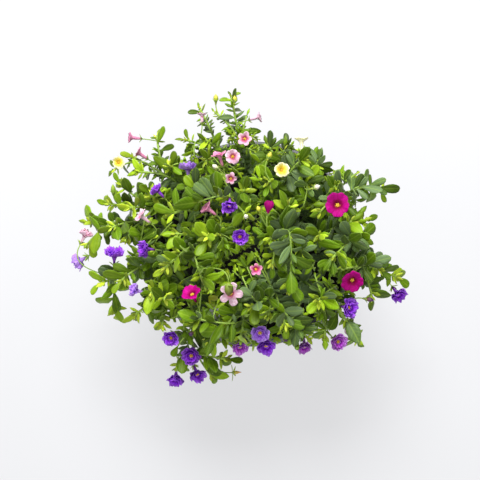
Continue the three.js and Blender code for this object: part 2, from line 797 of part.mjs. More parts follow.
const blooms = Object.entries(BLOOMS).map(([name, entry]) => new Bloom(name, entry));
for (const bloom of blooms) {
  const foot = bloom.foot.clone().addScaledVector(bloom.axis, -CALYX_GAP);
  const pedicel = pedicelTo(foot, bloom.axis, sprays);
  pedicel.finish = endInCalyx(CALYX_REACH * Math.min(1, bloom.radius / 8));
}
for (const [x, y, z, heading, lean, length] of BUDS) {
  const pedicel = pedicelTo(new THREE.Vector3(x, y, z), facing(heading, lean), sprays);
  pedicel.finish = endInBud(length);
}

function distanceTo(spray, point) {
  return Math.min(...[...spray.stems, ...spray.pedicels].map((stem) => stem.distance(point)));
}

// True where the point is in the pot's wall or the peat, or too near to either.
function inPot(point) {
  const radius = Math.hypot(point.x, point.y);
  if (point.z < 12) return true;
  if (point.z > POT_HEIGHT + 2) return false;
  const inside = radius < innerRadius(point.z) - 3 && point.z > PEAT_LEVEL + PEAT_CROWN + 2;
  const wall = point.z > BAND_FOOT - 4 ? RIM_RADIUS : potRadius(point.z);
  return !inside && radius < wall + 3;
}

// True where a leaf is clear of the pot, the label, the blooms, the other sprays, and its own spray's other
// stems and leaves.
function hasRoom(leaf, stem, spray) {
  for (const point of leaf.feelers()) {
    if (inPot(point) || nearLabel(point) || blooms.some((bloom) => bloom.crowds(point))) return false;
    const own = distanceTo(spray, point) + LEAF_CLEARANCE;
    if (sprays.some((other) => other !== spray && distanceTo(other, point) < own)) return false;
  }
  const others = [...spray.stems, ...spray.pedicels].filter((other) => other !== stem);
  if (others.some((other) => meets(leaf, other))) return false;
  return !spray.leaves.some((other) => cross(leaf, other));
}

// The other ways that a leaf is tried where it has no room: turned round its stem, raised and shortened.
const TRIES = [
  [0, 1, 1],
  [24, 1, 1],
  [-24, 1, 1],
  [46, 0.9, 0.95],
  [-46, 0.9, 0.95],
  [0, 0.7, 0.9],
  [75, 0.85, 0.85],
  [-75, 0.85, 0.85],
  [20, 0.55, 0.75],
  [-20, 0.55, 0.75],
  [120, 0.8, 0.7],
  [-120, 0.8, 0.7],
  [160, 0.6, 0.6],
];

// A leaf on a stem: it leans out of the stem by its pitch, with its upper face half turned to the light.
function leafOn(stem, share, turn, pitch, form) {
  const frame = stem.frameAt(share);
  const outward = frame.outward(turn);
  const run = frame.axis.clone().multiplyScalar(Math.cos(pitch)).addScaledVector(outward, Math.sin(pitch));
  const face = frame.axis.clone().multiplyScalar(0.35 * Math.sin(pitch));
  face.addScaledVector(outward, -0.35 * Math.cos(pitch)).addScaledVector(LIGHT, 0.75);
  face.addScaledVector(run, -face.dot(run)).normalize();
  return new Leaf(frame.origin, run, face, form);
}

// The size of the growth at a distance to the back of the pot's middle.
function vigour(y) {
  return 1.04 - BACK_SHRINK * THREE.MathUtils.smoothstep(y, 0, 110);
}

const draw = drawsFrom(LEAF_SEED);

function growLeaves(stem, spray, rows) {
  const start = 2 * Math.PI * draw();
  rows.forEach((row, index) => {
    const [a, b, c, d, e] = [draw(), draw(), draw(), draw(), draw()];
    const size = vigour(stem.end.y);
    const share = 1 - (row.back * size) / stem.length;
    if (share < 0.15) return;
    const turn = start + radians(LEAF_SPIRAL * index + 30 * (a - 0.5));
    const pitch = radians(row.pitch * (0.88 + 0.24 * b));
    const length = size * row.length * (0.85 + 0.3 * c);
    const width = length * LEAF_SLENDER * (0.88 + 0.24 * d);
    const arch = 0.08 + 0.2 * e;
    const slim = !BROAD_ROWS.includes(index);
    for (const [aside, raised, shorter] of TRIES) {
      const form = { length: length * shorter, width: width * shorter, arch, slim };
      const leaf = leafOn(stem, share, turn + radians(aside), pitch * raised, form);
      if (!hasRoom(leaf, stem, spray)) continue;
      spray.leaves.push(leaf);
      if (row.back === 0) stem.finish = endInLeaf(leaf);
      else stem.leaves.unshift({ leaf, at: share });
      return;
    }
  });
  stem.finish ??= endInBud(6);
}

for (const spray of sprays) {
  for (const stem of spray.stems) {
    growLeaves(stem, spray, LEAF_ROWS.slice(0, stem === spray.stems[0] ? LEAF_ROWS.length : SHOOT_ROWS));
  }
}

// ---------------------------------------------------------------- the parts

const GREEN = 0x4f7a1e;
const root = new THREE.Group();
const holes = sprays.map((spray) => holeFor(spray.stems[0].chain[0]));
root.add(part("pot", geometryOf(potSolid()), 0x23242e, 0.5));
root.add(part("peat", geometryOf(peatSolid([...holes, labelSolid(SEAT_GAP)])), 0x1c130d, 1));
root.add(part("plant_label", geometryOf(labelSolid(0)), 0xe6e8ec, 0.4));

for (const spray of sprays) {
  const joined = [...spray.stems, ...spray.pedicels]
    .map((stem) => stem.solid(stem.finish))
    .reduce((whole, solid) => whole.add(solid));
  root.add(part("spray_" + spray.name, geometryOf(joined), GREEN, 0.6));
}

for (const bloom of blooms) {
  root.add(part(bloom.name, geometryOf(bloom.solid()), KINDS[bloom.kind], 0.7));
}

export default root;
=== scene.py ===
"""The finished look of a calibrachoa in its pot: pot, peat, label, leafy sprays and blooms.

The plant grows by the same seeded rule as its solids, so that each stem, leaf and bloom stands in its solid's
place, and is then dressed with rounder stems, veined leaves, calyces, buds and ruffled corollas.
"""

import logging
import math
from collections.abc import Callable, Iterable
from dataclasses import dataclass, field
from enum import Enum
from itertools import repeat

import bmesh
import bpy
import numpy as np
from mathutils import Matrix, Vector, noise

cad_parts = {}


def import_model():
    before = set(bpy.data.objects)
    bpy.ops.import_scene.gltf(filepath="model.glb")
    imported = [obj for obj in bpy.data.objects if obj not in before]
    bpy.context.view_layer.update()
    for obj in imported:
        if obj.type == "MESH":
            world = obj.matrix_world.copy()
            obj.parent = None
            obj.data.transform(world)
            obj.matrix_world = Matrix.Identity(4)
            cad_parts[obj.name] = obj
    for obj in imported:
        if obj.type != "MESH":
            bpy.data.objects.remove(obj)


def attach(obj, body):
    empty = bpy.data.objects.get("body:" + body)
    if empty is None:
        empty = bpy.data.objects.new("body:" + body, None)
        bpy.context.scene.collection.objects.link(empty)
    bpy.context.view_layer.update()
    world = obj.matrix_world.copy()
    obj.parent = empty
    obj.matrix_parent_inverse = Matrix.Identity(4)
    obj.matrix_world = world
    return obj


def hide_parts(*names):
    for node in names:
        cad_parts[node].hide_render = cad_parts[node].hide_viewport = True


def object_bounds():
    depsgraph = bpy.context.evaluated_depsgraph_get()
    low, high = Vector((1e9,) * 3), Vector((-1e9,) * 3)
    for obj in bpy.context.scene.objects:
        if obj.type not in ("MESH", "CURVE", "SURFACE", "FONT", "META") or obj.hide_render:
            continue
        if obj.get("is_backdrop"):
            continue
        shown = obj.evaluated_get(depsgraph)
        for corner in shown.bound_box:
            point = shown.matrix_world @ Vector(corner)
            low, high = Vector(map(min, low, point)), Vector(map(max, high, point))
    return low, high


logging.basicConfig(level=logging.INFO, format="%(message)s")
log = logging.getLogger("calibrachoa")

MM = 0.001
TAU = 2 * math.pi

# ------------------------------------------------------------------ sizes, in millimetres

POT_HEIGHT = 130.0
RIM_RADIUS = 116.0
FOOT_RADIUS = 72.0
POT_WALL = 2.4
BAND_HEIGHT = 20.0
BAND_STEP = 3.0
FOOT_CHAMFER = 3.0
BAND_FOOT = POT_HEIGHT - BAND_HEIGHT
SEAT_GAP = 0.3
PEAT_LEVEL = 117.0
PEAT_CROWN = 5.0
HOLE_DEPTH = 6.0

STEM_RADIUS = 2.1
SHOOT_RADIUS = 1.3
PEDICEL_RADIUS = 0.9
TIP_RADIUS = 0.9
ROOT_SHARE = 0.36
SHOOT_LENGTH = 48.0
SHORTEST_PEDICEL = 7.0
STEM_LINES = 6
CALYX_REACH = 5.0
CALYX_GAP = 1.9

LEAF_THICKNESS = 1.2
LEAF_CLEARANCE = 1.6
LEAF_SLENDER = 0.52
LEAF_SPIRAL = 137.5
LEAF_SEED = 20611
BACK_SHRINK = 0.42

# The heights between which the growth turns from low to raised.
LOW_LEVEL, HIGH_LEVEL = 155, 195

# How near a leaf or twig comes to the ground, the pot's walls, a bloom's tube and a bloom.
GROUND_ROOM = 12.0
WALL_ROOM = 3.0
TUBE_ROOM = 5.5
BLOOM_ROOM = 3.0

DOME_HEIGHT = 108.0
DOME_RADIUS = 195.0
DOME_DROP = 10.0

TUBE_LENGTH = 11.0
LIMB_RISE = 4.0

LABEL_WIDTH = 30.0
LABEL_HEIGHT = 46.0
LABEL_CORNER = 4.0
STAKE_WIDTH = 12.0
STAKE_LENGTH = 30.0
LABEL_THICKNESS = 1.2
LABEL_FOOT = np.array([-30.0, -98.0, 104.0])
LABEL_LEAN = 12.0

# Rows of leaves on a stem: how far behind the tip, how long, and how far they lean out of the stem.
NEAR_ROWS = ((0, 20, 12), (5, 22, 46), (13, 29, 58), (24, 33, 66))
LEAF_ROWS = (*NEAR_ROWS, (38, 34, 66), (52, 34, 66), (66, 34, 66), (80, 34, 66))

# The other ways that a leaf is tried where it has no room: turned round its stem, raised and shortened.
ASIDES = (0, 24, -24, 46, -46, 0, 75, -75, 20, -20, 120, -120, 160)
RAISED = (1, 1, 1, 0.9, 0.9, 0.7, 0.85, 0.85, 0.55, 0.55, 0.8, 0.8, 0.6)
SHORTER = (1, 1, 1, 0.95, 0.95, 0.9, 0.85, 0.85, 0.75, 0.75, 0.7, 0.7, 0.6)
Tries = tuple[tuple[float, float, float], ...]
TRIES: Tries = tuple(zip(ASIDES, RAISED, SHORTER))

# The smaller leaves that fill the gaps, and the tufts of young leaves at the tips. A clearance is how much
# nearer to its own spray than to any other a leaf stays, and an offset is how far apart two blades stay.
FILL_SEED = 4177
LOOKS_SEED = 90217
FILL_STEP = 4.0
FILL_CLEARANCE = 0.3
FILL_OFFSET = 0.5
FILL_SHARES = (1, 1, 1, 0.85, 0.85, 0.7)
FILL_TRIES = (*zip((0, 60, -60, 120, -120, 180), FILL_SHARES, FILL_SHARES), (30, 0.5, 0.6))
TUFT_OFFSET = 0.2
TUFT_TRIES = ((0, 1, 1), (40, 1, 1), (-40, 1, 1))
TUFT_LEAVES = 7

# The twigs that close the gaps in the canopy. The gaps are found on a grid of square cells over what an eye
# sees that is a distance away from the canopy's middle, whose level and rise in the eye's view are given. The
# grid's sizes are how far it reaches aside, down and up.
CELL = 4.0
SEEN_SIZES = (150.0, 200.0, 230.0)
EYE_DISTANCE = 1400.0
SEEN_LEVEL = 121.4
SEEN_RISE = 46.6
EVEN_DISTANCE = 1e7
TWIG_RADIUS = 0.75
TWIG_STEP = 4.2
TWIG_REACH = (12.0, 92.0)
TWIG_LIMIT = 146.0
TWIG_TRIES = ((0, 1, 1), (70, 1, 1), (-70, 1, 1), (140, 1, 0.8), (-140, 1, 0.8), (30, 1, 0.6))
FEWEST_LEAVES = 3
FRONT_EDGE = 6.0
BUD_SHARES = (0.2, 0.3, 0.4, 0.5, 0.6, 0.7, 0.8, 0.88)

# Each spray: the tips of its main stem and of its shoots, from above, with their lift over the dome.
SPRAYS: dict[str, tuple[tuple[float, float, float], ...]] = {
    "back_tip": ((-22, 124, 25), (-6, 100, 10), (-39, 106, 15), (-21, 78, 0)),
    "back_left": ((-55, 112, 20), (-70, 76, 5), (-48, 69, 8), (-48, 45, 0)),
    "upper_left": ((-127, 74, 0), (-100, 92, 5), (-120, 54, -8), (-147, 64, 0), (-86, 48, 0)),
    "left_shoulder": ((-150, 20, 2), (-126, 6, 5), (-136, 34, 12), (-105, 18, 0)),
    "left": ((-172, 8, 0), (-145, -10, 5), (-129, -22, -5), (-172, -20, 9)),
    "left_low": ((-157, -60, -5), (-143, -85, -33), (-134, -66, 2), (-124, -42, -6)),
    "lower_left": ((-120, -97, -10), (-103, -85, 5), (-91, -112, -10), (-87, -94, 10)),
    "trailing": ((-78, -139, -52), (-76, -126, -28), (-42, -150, -50), (-25, -140, -33)),
    "front_left": ((-12, -131, -5), (-45, -130, -5), (-62, -112, 5), (-26, -120, 0)),
    "front_right": ((32, -119, 0), (15, -112, 0), (56, -125, -15), (-3, -108, 10)),
    "lower_right": ((96, -108, -8), (108, -120, -22), (73, -123, -15), (64, -98, 10)),
    "right_low": ((148, -58, 0), (130, -54, -5), (122, -81, -10), (92, -66, 10)),
    "right": ((112, -30, 0), (100, -16, 5), (78, -61, 18), (116, -6, -5), (66, -36, 2)),
    "upper_right": ((120, 26, 10), (107, 43, 0), (84, 20, 5), (138, 34, -5), (66, -15, 10)),
    "top_right": ((50, 40, 15), (70, 44, 3), (31, 54, 10), (15, 60, 8), (58, 20, 2), (15, 15, 5)),
    "middle_left": (
        (-74, -54, 5), (-87, -68, 15), (-44, -42, 10), (-77, -34, 8), (-48, -86, 8), (-34, -36, 2),
    ),
    "middle_back": ((-28, -4, 8), (-8, 2, 15), (-63, 11, 10), (-7, -27, 20), (-84, -16, 10), (-30, 24, 0)),
    "middle_right": ((38, -41, 10), (17, -46, 8), (19, -68, 5), (51, -57, 5), (36, -12, 12), (36, -90, 3)),
}


class Kind(Enum):
    """The colour families of the blooms."""

    MAGENTA = "magenta"
    PALE_PINK = "pale_pink"
    PINK = "pink"
    CREAM = "cream"
    VIOLET = "violet"
    LILAC = "lilac"
    PURPLE = "purple"


class Form(Enum):
    """The forms of the corollas."""

    OPEN = "open"
    RUFFLED = "ruffled"
    TRUMPET = "trumpet"
    STAR = "star"
    PARTED = "parted"
    FOLDED = "folded"


# Each bloom: the middle of its limb, the heading and lean of its face, its breadth, its family and its form.
BLOOMS: dict[str, tuple[float, float, float, float, float, float, Kind, Form]] = {
    "magenta_right": (84, -9, 240, -90, 16, 28, Kind.MAGENTA, Form.OPEN),
    "magenta_low": (99, -78, 206, -90, 50, 26, Kind.MAGENTA, Form.OPEN),
    "magenta_left": (-61, -93, 218, 130, 30, 22, Kind.MAGENTA, Form.OPEN),
    "magenta_folded": (16, -13, 258, 80, 66, 13, Kind.MAGENTA, Form.FOLDED),
    "pale_front": (-22, -97, 224, -90, 25, 25, Kind.PALE_PINK, Form.PARTED),
    "pink_small": (3, -74, 231, -70, 25, 13, Kind.PINK, Form.STAR),
    "pink_star": (-8, 64, 239, -90, 25, 15, Kind.PALE_PINK, Form.STAR),
    "pink_pair_far": (-34, 46, 242, 110, 52, 17, Kind.PINK, Form.OPEN),
    "pink_pair_near": (-20, 40, 248, -80, 22, 16, Kind.PALE_PINK, Form.OPEN),
    "peach_star": (-22, 17, 245, -90, 25, 13, Kind.PALE_PINK, Form.STAR),
    "pink_side": (-47, -13, 244, 150, 62, 16, Kind.PINK, Form.TRUMPET),
    "pale_left": (-114, -8, 212, 150, 58, 15, Kind.PALE_PINK, Form.OPEN),
    "coral": (-132, 103, 164, 180, 76, 13, Kind.PINK, Form.TRUMPET),
    "pink_upper_left": (-121, 74, 188, 150, 74, 13, Kind.PINK, Form.TRUMPET),
    "pale_top": (-52, 100, 225, 90, 70, 10, Kind.PALE_PINK, Form.TRUMPET),
    "pale_tip": (8, 98, 222, 10, 74, 12, Kind.PALE_PINK, Form.TRUMPET),
    "pale_far_left": (-174, -4, 156, 60, 70, 15, Kind.PALE_PINK, Form.RUFFLED),
    "cream_left": (-140, 61, 190, -90, 22, 14, Kind.CREAM, Form.OPEN),
    "cream_right": (29, 25, 249, -60, 24, 16, Kind.CREAM, Form.OPEN),
    "cream_trumpet": (49, 60, 248, 90, 72, 14, Kind.CREAM, Form.TRUMPET),
    "violet_middle": (-23, -17, 251, -90, 64, 16, Kind.VIOLET, Form.RUFFLED),
    "violet_centre": (-13, -46, 245, -90, 34, 17, Kind.VIOLET, Form.RUFFLED),
    "violet_shoulder": (-99, 19, 218, 140, 60, 14, Kind.VIOLET, Form.RUFFLED),
    "violet_left": (-141, -36, 184, 85, 50, 22, Kind.VIOLET, Form.RUFFLED),
    "violet_left_near": (-111, -43, 207, 190, 58, 17, Kind.VIOLET, Form.RUFFLED),
    "violet_low_left": (-81, -150, 96, -95, 104, 19, Kind.VIOLET, Form.RUFFLED),
    "violet_low_right": (-56, -151, 119, -70, 84, 18, Kind.VIOLET, Form.RUFFLED),
    "violet_low_top": (-63, -139, 151, -100, 36, 20, Kind.VIOLET, Form.RUFFLED),
    "violet_shaded": (-84, -122, 157, -110, 45, 18, Kind.VIOLET, Form.RUFFLED),
    "violet_right": (99, -98, 184, -30, 48, 21, Kind.VIOLET, Form.RUFFLED),
    "violet_far_right": (153, -73, 147, -60, 80, 17, Kind.VIOLET, Form.RUFFLED),
    "violet_front": (14, -137, 172, -80, 76, 20, Kind.VIOLET, Form.RUFFLED),
    "lilac_front": (7, -128, 192, -90, 40, 19, Kind.LILAC, Form.RUFFLED),
    "lilac_upper": (-65, 37, 235, 90, 66, 18, Kind.LILAC, Form.RUFFLED),
    "lilac_far_left": (-185, -32, 140, 200, 116, 19, Kind.LILAC, Form.RUFFLED),
    "lilac_left": (-121, -80, 189, 170, 76, 15, Kind.LILAC, Form.RUFFLED),
    "purple_front": (-13, -137, 172, -90, 58, 17, Kind.PURPLE, Form.RUFFLED),
    "purple_nodding": (52, -134, 160, -90, 94, 16, Kind.PURPLE, Form.RUFFLED),
    "purple_right": (88, -126, 158, -60, 40, 18, Kind.PURPLE, Form.RUFFLED),
}


class BudLook(Enum):
    """What a bud, or a spent bloom, shows."""

    GREEN = "green"
    YELLOW = "yellow"
    PURPLE_TIP = "purple_tip"
    PALE_TIP = "pale_tip"
    STAR = "star"
    WITHERED = "withered"
    CAPSULE = "capsule"


# Each bud: the middle of its foot, its heading, lean and length, and its look.
BUDS: tuple[tuple[float, float, float, float, float, float, BudLook], ...] = (
    (-144, 24, 188, 90, 40, 13, BudLook.GREEN),
    (-38, 114, 219, 90, 50, 11, BudLook.YELLOW),
    (-19, 110, 226, 80, 60, 10, BudLook.YELLOW),
    (-7, -29, 256, -90, 20, 12, BudLook.PALE_TIP),
    (7, -22, 248, 120, 40, 9, BudLook.YELLOW),
    (112, -84, 174, -20, 70, 12, BudLook.PURPLE_TIP),
    (30, -126, 182, -60, 70, 9, BudLook.PURPLE_TIP),
    (-59, -121, 182, -120, 60, 9, BudLook.PURPLE_TIP),
    (-21, -147, 122, 0, 80, 10, BudLook.STAR),
    (-41, -93, 221, -90, 30, 11, BudLook.GREEN),
    (-33, 29, 238, 150, 60, 10, BudLook.PALE_TIP),
    (14, 36, 246, 60, 60, 10, BudLook.YELLOW),
    (58, 9, 238, 10, 66, 10, BudLook.PALE_TIP),
    (97, -108, 170, -95, 140, 15, BudLook.WITHERED),
)

# The seed capsule that nods over a bloom: it grows last, so the leaves are placed as if it weren't there.
CAPSULES: tuple[tuple[float, float, float, float, float, float, BudLook], ...] = (
    (-24, -90, 237, -90, 112, 13, BudLook.CAPSULE),
)


# ------------------------------------------------------------------ small tools of growth


def vector(*values: float) -> np.ndarray:
    """Gives numbers as a vector."""
    return np.array(values, float)


def unit(way: np.ndarray) -> np.ndarray:
    """Gives a vector its length of one."""
    return way / np.sqrt(way @ way)


UP = vector(0, 0, 1)
LIGHT = unit(vector(0, -0.375, 0.927))
FROM_BEHIND = unit(vector(0, 0.75, 0.66))


def facing(heading: float, lean: float) -> np.ndarray:
    """Gives the way that a thing faces.

    Args:
        heading: Its compass heading, in degrees from +X.
        lean: Its lean away from straight up, in degrees.

    Returns:
        The unit vector.
    """
    flat = math.sin(math.radians(lean))
    turn = math.radians(heading)
    return vector(flat * math.cos(turn), flat * math.sin(turn), math.cos(math.radians(lean)))


def smoothstep(value: float, low: float, high: float) -> float:
    """Eases a value between two limits from 0 to 1."""
    share = min(max((value - low) / (high - low), 0.0), 1.0)
    return share * share * (3 - 2 * share)


def pot_radius(z: float) -> float:
    """Gives the radius of the pot's outer wall at a height."""
    share = min(max(z / BAND_FOOT, 0.0), 1.0)
    return FOOT_RADIUS + (RIM_RADIUS - BAND_STEP - FOOT_RADIUS) * share


def inner_radius(z: float) -> float:
    """Gives the radius of the pot's inner wall at a height."""
    return pot_radius(z) - POT_WALL


class Draws:
    """Even draws from 0 to 1 that are the same on every run."""

    def __init__(self, seed: int) -> None:
        """Starts the draws at a seed."""
        self.state = seed

    def next(self) -> float:
        """Gives the next draw."""
        self.state = self.state * 16807 % 2147483647
        return self.state / 2147483647

    def between(self, low: float, high: float) -> float:
        """Gives the next draw, between two limits."""
        return low + (high - low) * self.next()


@dataclass
class Frame:
    """A frame round an axis: its side and raised ways are square to the axis and to each other."""

    origin: np.ndarray
    axis: np.ndarray
    side: np.ndarray | None = None
    raised: np.ndarray = field(init=False)

    def __post_init__(self) -> None:
        """Finds the ways that aren't given."""
        if self.side is None:
            guide = vector(1, 0, 0) if abs(self.axis[2]) > 0.95 else UP
            self.side = unit(np.cross(self.axis, guide))
        self.raised = np.cross(self.axis, self.side)

    def outward(self, angle: float) -> np.ndarray:
        """Gives the way out of the axis at an angle round it."""
        return self.side * math.cos(angle) + self.raised * math.sin(angle)


def pierced(lines: np.ndarray, faces: np.ndarray) -> bool:
    """Tells whether any line passes through any triangle.

    Args:
        lines: Pairs of points, as an array of N by 2 by 3.
        faces: Triangles, as an array of M by 3 by 3.

    Returns:
        True where at least one does.
    """
    p, q = lines[:, None, 0], lines[:, None, 1]
    a, b, c = faces[None, :, 0], faces[None, :, 1], faces[None, :, 2]
    normal = np.cross(b - a, c - a)
    apart = (((p - a) * normal).sum(2) > 0) != (((q - a) * normal).sum(2) > 0)
    if not apart.any():
        return False
    ray = q - p
    pa, pb, pc = a - p, b - p, c - p
    first = (np.cross(ray, pa) * pb).sum(2) > 0
    second = (np.cross(ray, pb) * pc).sum(2) > 0
    third = (np.cross(ray, pc) * pa).sum(2) > 0
    return bool((apart & (first == second) & (first == third)).any())


# ------------------------------------------------------------------ what grows


# Places of a blade, as shares of its length and of its half width: where its distance to others is felt, and
# the corners of the plain faces and lines that others may not cross.
FEELERS = (
    *((0.15, 0), (0.35, 0), (0.35, 0.8), (0.35, -0.8), (0.7, 0)),
    *((0.7, 1), (0.7, -1), (0.88, 0.5), (0.88, -0.5), (1, 0)),
)
PANE_POINTS = (
    *((0.06, 0), (1, 0), (0.36, 0.78), (0.36, 0)),
    *((0.36, -0.78), (0.72, 0.96), (0.72, 0), (0.72, -0.96)),
)
PANE_FACES = ((0, 2, 3), (0, 3, 4), (2, 5, 3), (3, 5, 6), (3, 6, 4), (4, 6, 7), (5, 1, 6), (6, 1, 7))
PANE_LINES = ((0, 2), (2, 5), (5, 1), (0, 3), (3, 6), (6, 1), (0, 4), (4, 7), (7, 1))


@dataclass
class Leaf:
    """One leaf blade: where it grows, how it runs and faces, its form, and how old and how bright it is."""

    root: np.ndarray
    run: np.ndarray
    face: np.ndarray
    length: float
    width: float
    arch: float
    age: float = 0.5
    tone: float = 0.5
    side: np.ndarray = field(init=False)
    faces: np.ndarray = field(init=False)
    lines: np.ndarray = field(init=False)
    middle: np.ndarray = field(init=False)

    def __post_init__(self) -> None:
        """Finds the blade's side, and the middle, faces and lines that others are tested against."""
        self.side = unit(np.cross(self.face, self.run))
        self.measure()

    def measure(self) -> None:
        """Finds the blade's middle, and its faces and lines."""
        self.middle = self.at(((0.5, 0),))[0]
        self.faces, self.lines = self.panes(0.0)

    def at(self, places: tuple, over: float = 0.0) -> np.ndarray:
        """Gives points of the blade.

        Args:
            places: Pairs of a share of the length and a share of the half width.
            over: The height above the middle face.

        Returns:
            One point for each pair.
        """
        share, across = np.array(places, float).T
        raise_by = over - self.arch * self.length * share * share
        return (
            self.root
            + np.outer(share * self.length, self.run)
            + np.outer(across * self.width * 0.5, self.side)
            + np.outer(raise_by, self.face)
        )

    def shrink(self, share: float) -> None:
        """Makes the blade smaller, by a share of its size."""
        self.length *= share
        self.width *= share
        self.measure()

    def panes(self, over: float) -> tuple[np.ndarray, np.ndarray]:
        """Gives the blade's face as triangles, and its ribs and edges as lines, lifted by a height."""
        points = self.at(PANE_POINTS, over)
        return points[np.array(PANE_FACES)], points[np.array(PANE_LINES)]


@dataclass
class Outlook:
    """A way of seeing the canopy, in square cells, and how deep under its dome the gaps are filled.

    Attributes:
        way: The way to the eye.
        distance: How far away the eye is.
        edge: How far from the middle the gaps are filled.
        drops: How deep under the dome the twigs are tried.
        enough: How many of a cell's nine neighbours, itself among them, are covered where it has no gap.
        from_y: The lowest Y of a twig.
    """

    way: np.ndarray
    distance: float
    edge: float
    drops: tuple[float, ...]
    enough: int
    from_y: float

    def shaded_by(self, leaf: Leaf) -> set[tuple[int, int]]:
        """Gives the cells that a leaf covers."""
        points = leaf.at([(share, across) for share in (0.25, 0.5, 0.75) for across in (-0.4, 0.4)])
        nearer = self.distance / (self.distance + SEEN_LEVEL - points @ self.way)
        rise = points[:, 1] * self.way[2] - points[:, 2] * self.way[1] - SEEN_RISE
        seen = zip(points[:, 0] * nearer, rise * nearer + SEEN_RISE)
        return {(int(x // CELL), int(y // CELL)) for x, y in seen}

    def target_of(self, cell: tuple[int, int], drop: float) -> np.ndarray | None:
        """Gives the place that is seen in a cell at a drop under the dome.

        Args:
            cell: The cell's numbers.
            drop: How far under the dome the place is.

        Returns:
            The place, or None where the plant doesn't reach.
        """
        across, up = (cell[0] + 0.5) * CELL, (cell[1] + 0.5) * CELL
        if math.hypot(across, (up + POT_HEIGHT * self.way[1]) / self.way[2] + FRONT_EDGE) > self.edge:
            return None
        x, y, z = across, 0.0, 180.0
        # The place slides along its line of sight until it is as deep as the drop.
        for _ in range(30):
            farther = (self.distance + SEEN_LEVEL - y * self.way[1] - z * self.way[2]) / self.distance
            x = across * farther
            y = ((up - SEEN_RISE) * farther + SEEN_RISE + z * self.way[1]) / self.way[2]
            share = (x * x + y * y) / DOME_RADIUS**2
            z += 0.5 * (POT_HEIGHT + DOME_HEIGHT * (1 - share) - drop - z)
        radius = math.hypot(x, y)
        if y < self.from_y or radius > TWIG_LIMIT or (z < POT_HEIGHT + 4 and radius < RIM_RADIUS + 4):
            return None
        return vector(x, y, z)


@dataclass
class Stem:
    """A length of stem: an arc in one plane, with the leaves on it as pairs of a leaf and its share."""

    start: np.ndarray
    bend: np.ndarray
    end: np.ndarray
    radius: float
    foot: np.ndarray | None = None
    calyx: float = 0.0
    bud: tuple[float, BudLook] | None = None
    leaves: list[tuple[Leaf, float]] = field(default_factory=list)
    chain: np.ndarray = field(init=False)
    length: float = field(init=False)
    side: np.ndarray = field(init=False)

    def __post_init__(self) -> None:
        """Finds the chain of points along the arc, its length and its side."""
        self.chain = np.array([self.point_at(step / STEM_LINES) for step in range(STEM_LINES + 1)])
        self.length = float(sum(math.sqrt(d @ d) for d in np.diff(self.chain, axis=0)))
        self.side = unit(np.cross(self.bend - self.start, self.end - self.start))

    def point_at(self, share: float) -> np.ndarray:
        """Gives the point at a share of the arc."""
        rest = 1 - share
        return self.start * rest**2 + self.bend * (2 * share * rest) + self.end * share**2

    def tangent_at(self, share: float) -> np.ndarray:
        """Gives the way that the arc runs at a share of it."""
        return unit((self.bend - self.start) * (1 - share) + (self.end - self.bend) * share)

    def frame_at(self, share: float) -> Frame:
        """Gives the frame round the arc at a share of it."""
        return Frame(self.point_at(share), self.tangent_at(share), self.side)

    def vigour(self, raised: float = 1.0) -> float:
        """Gives how large its leaves grow, which is less towards the back, above all where it is raised."""
        return 1.04 - BACK_SHRINK * smoothstep(self.end[1], 0, 110) * raised


@dataclass
class Spray:
    """One leafy spray: its main stem and shoots, the pedicels on them, and its leaves."""

    name: str
    stems: list[Stem]
    pedicels: list[Stem] = field(default_factory=list)
    twigs: list[Stem] = field(default_factory=list)
    leaves: list[Leaf] = field(default_factory=list)


@dataclass
class Sprout:
    """A leaf that looks for room: where it grows, how it turns and leans out, and its size."""

    stem: Stem
    spray: Spray
    share: float
    turn: float
    pitch: float
    length: float
    width: float

    def leaf(self, aside: float, raised: float, shorter: float, arch: float) -> Leaf:
        """Gives the leaf, with its upper face half turned to the light.

        Args:
            aside: How much further round the stem it grows, in degrees.
            raised: What its lean is multiplied by.
            shorter: What its size is multiplied by.
            arch: How far it arches down, as a share of its length.

        Returns:
            The leaf.
        """
        frame = self.stem.frame_at(self.share)
        outward = frame.outward(self.turn + math.radians(aside))
        pitch = self.pitch * raised
        run = frame.axis * math.cos(pitch) + outward * math.sin(pitch)
        tilted = frame.axis * (0.35 * math.sin(pitch)) - outward * (0.35 * math.cos(pitch)) + LIGHT * 0.75
        face = unit(tilted - run * (tilted @ run))
        return Leaf(frame.origin, run, face, self.length * shorter, self.width * shorter, arch)


@dataclass
class Bloom:
    """An open bloom: where its limb is, how it faces, and its size, family and form."""

    name: str
    limb: np.ndarray
    axis: np.ndarray
    radius: float
    kind: Kind
    form: Form
    tube: float = field(init=False)
    rise: float = field(init=False)
    foot: np.ndarray = field(init=False)

    def __post_init__(self) -> None:
        """Finds the tube's length and foot."""
        self.tube = min(TUBE_LENGTH, self.radius * 1.6)
        self.rise = LIMB_RISE * min(1.0, self.radius / 10)
        self.foot = self.limb + self.axis * (-self.tube - self.rise)


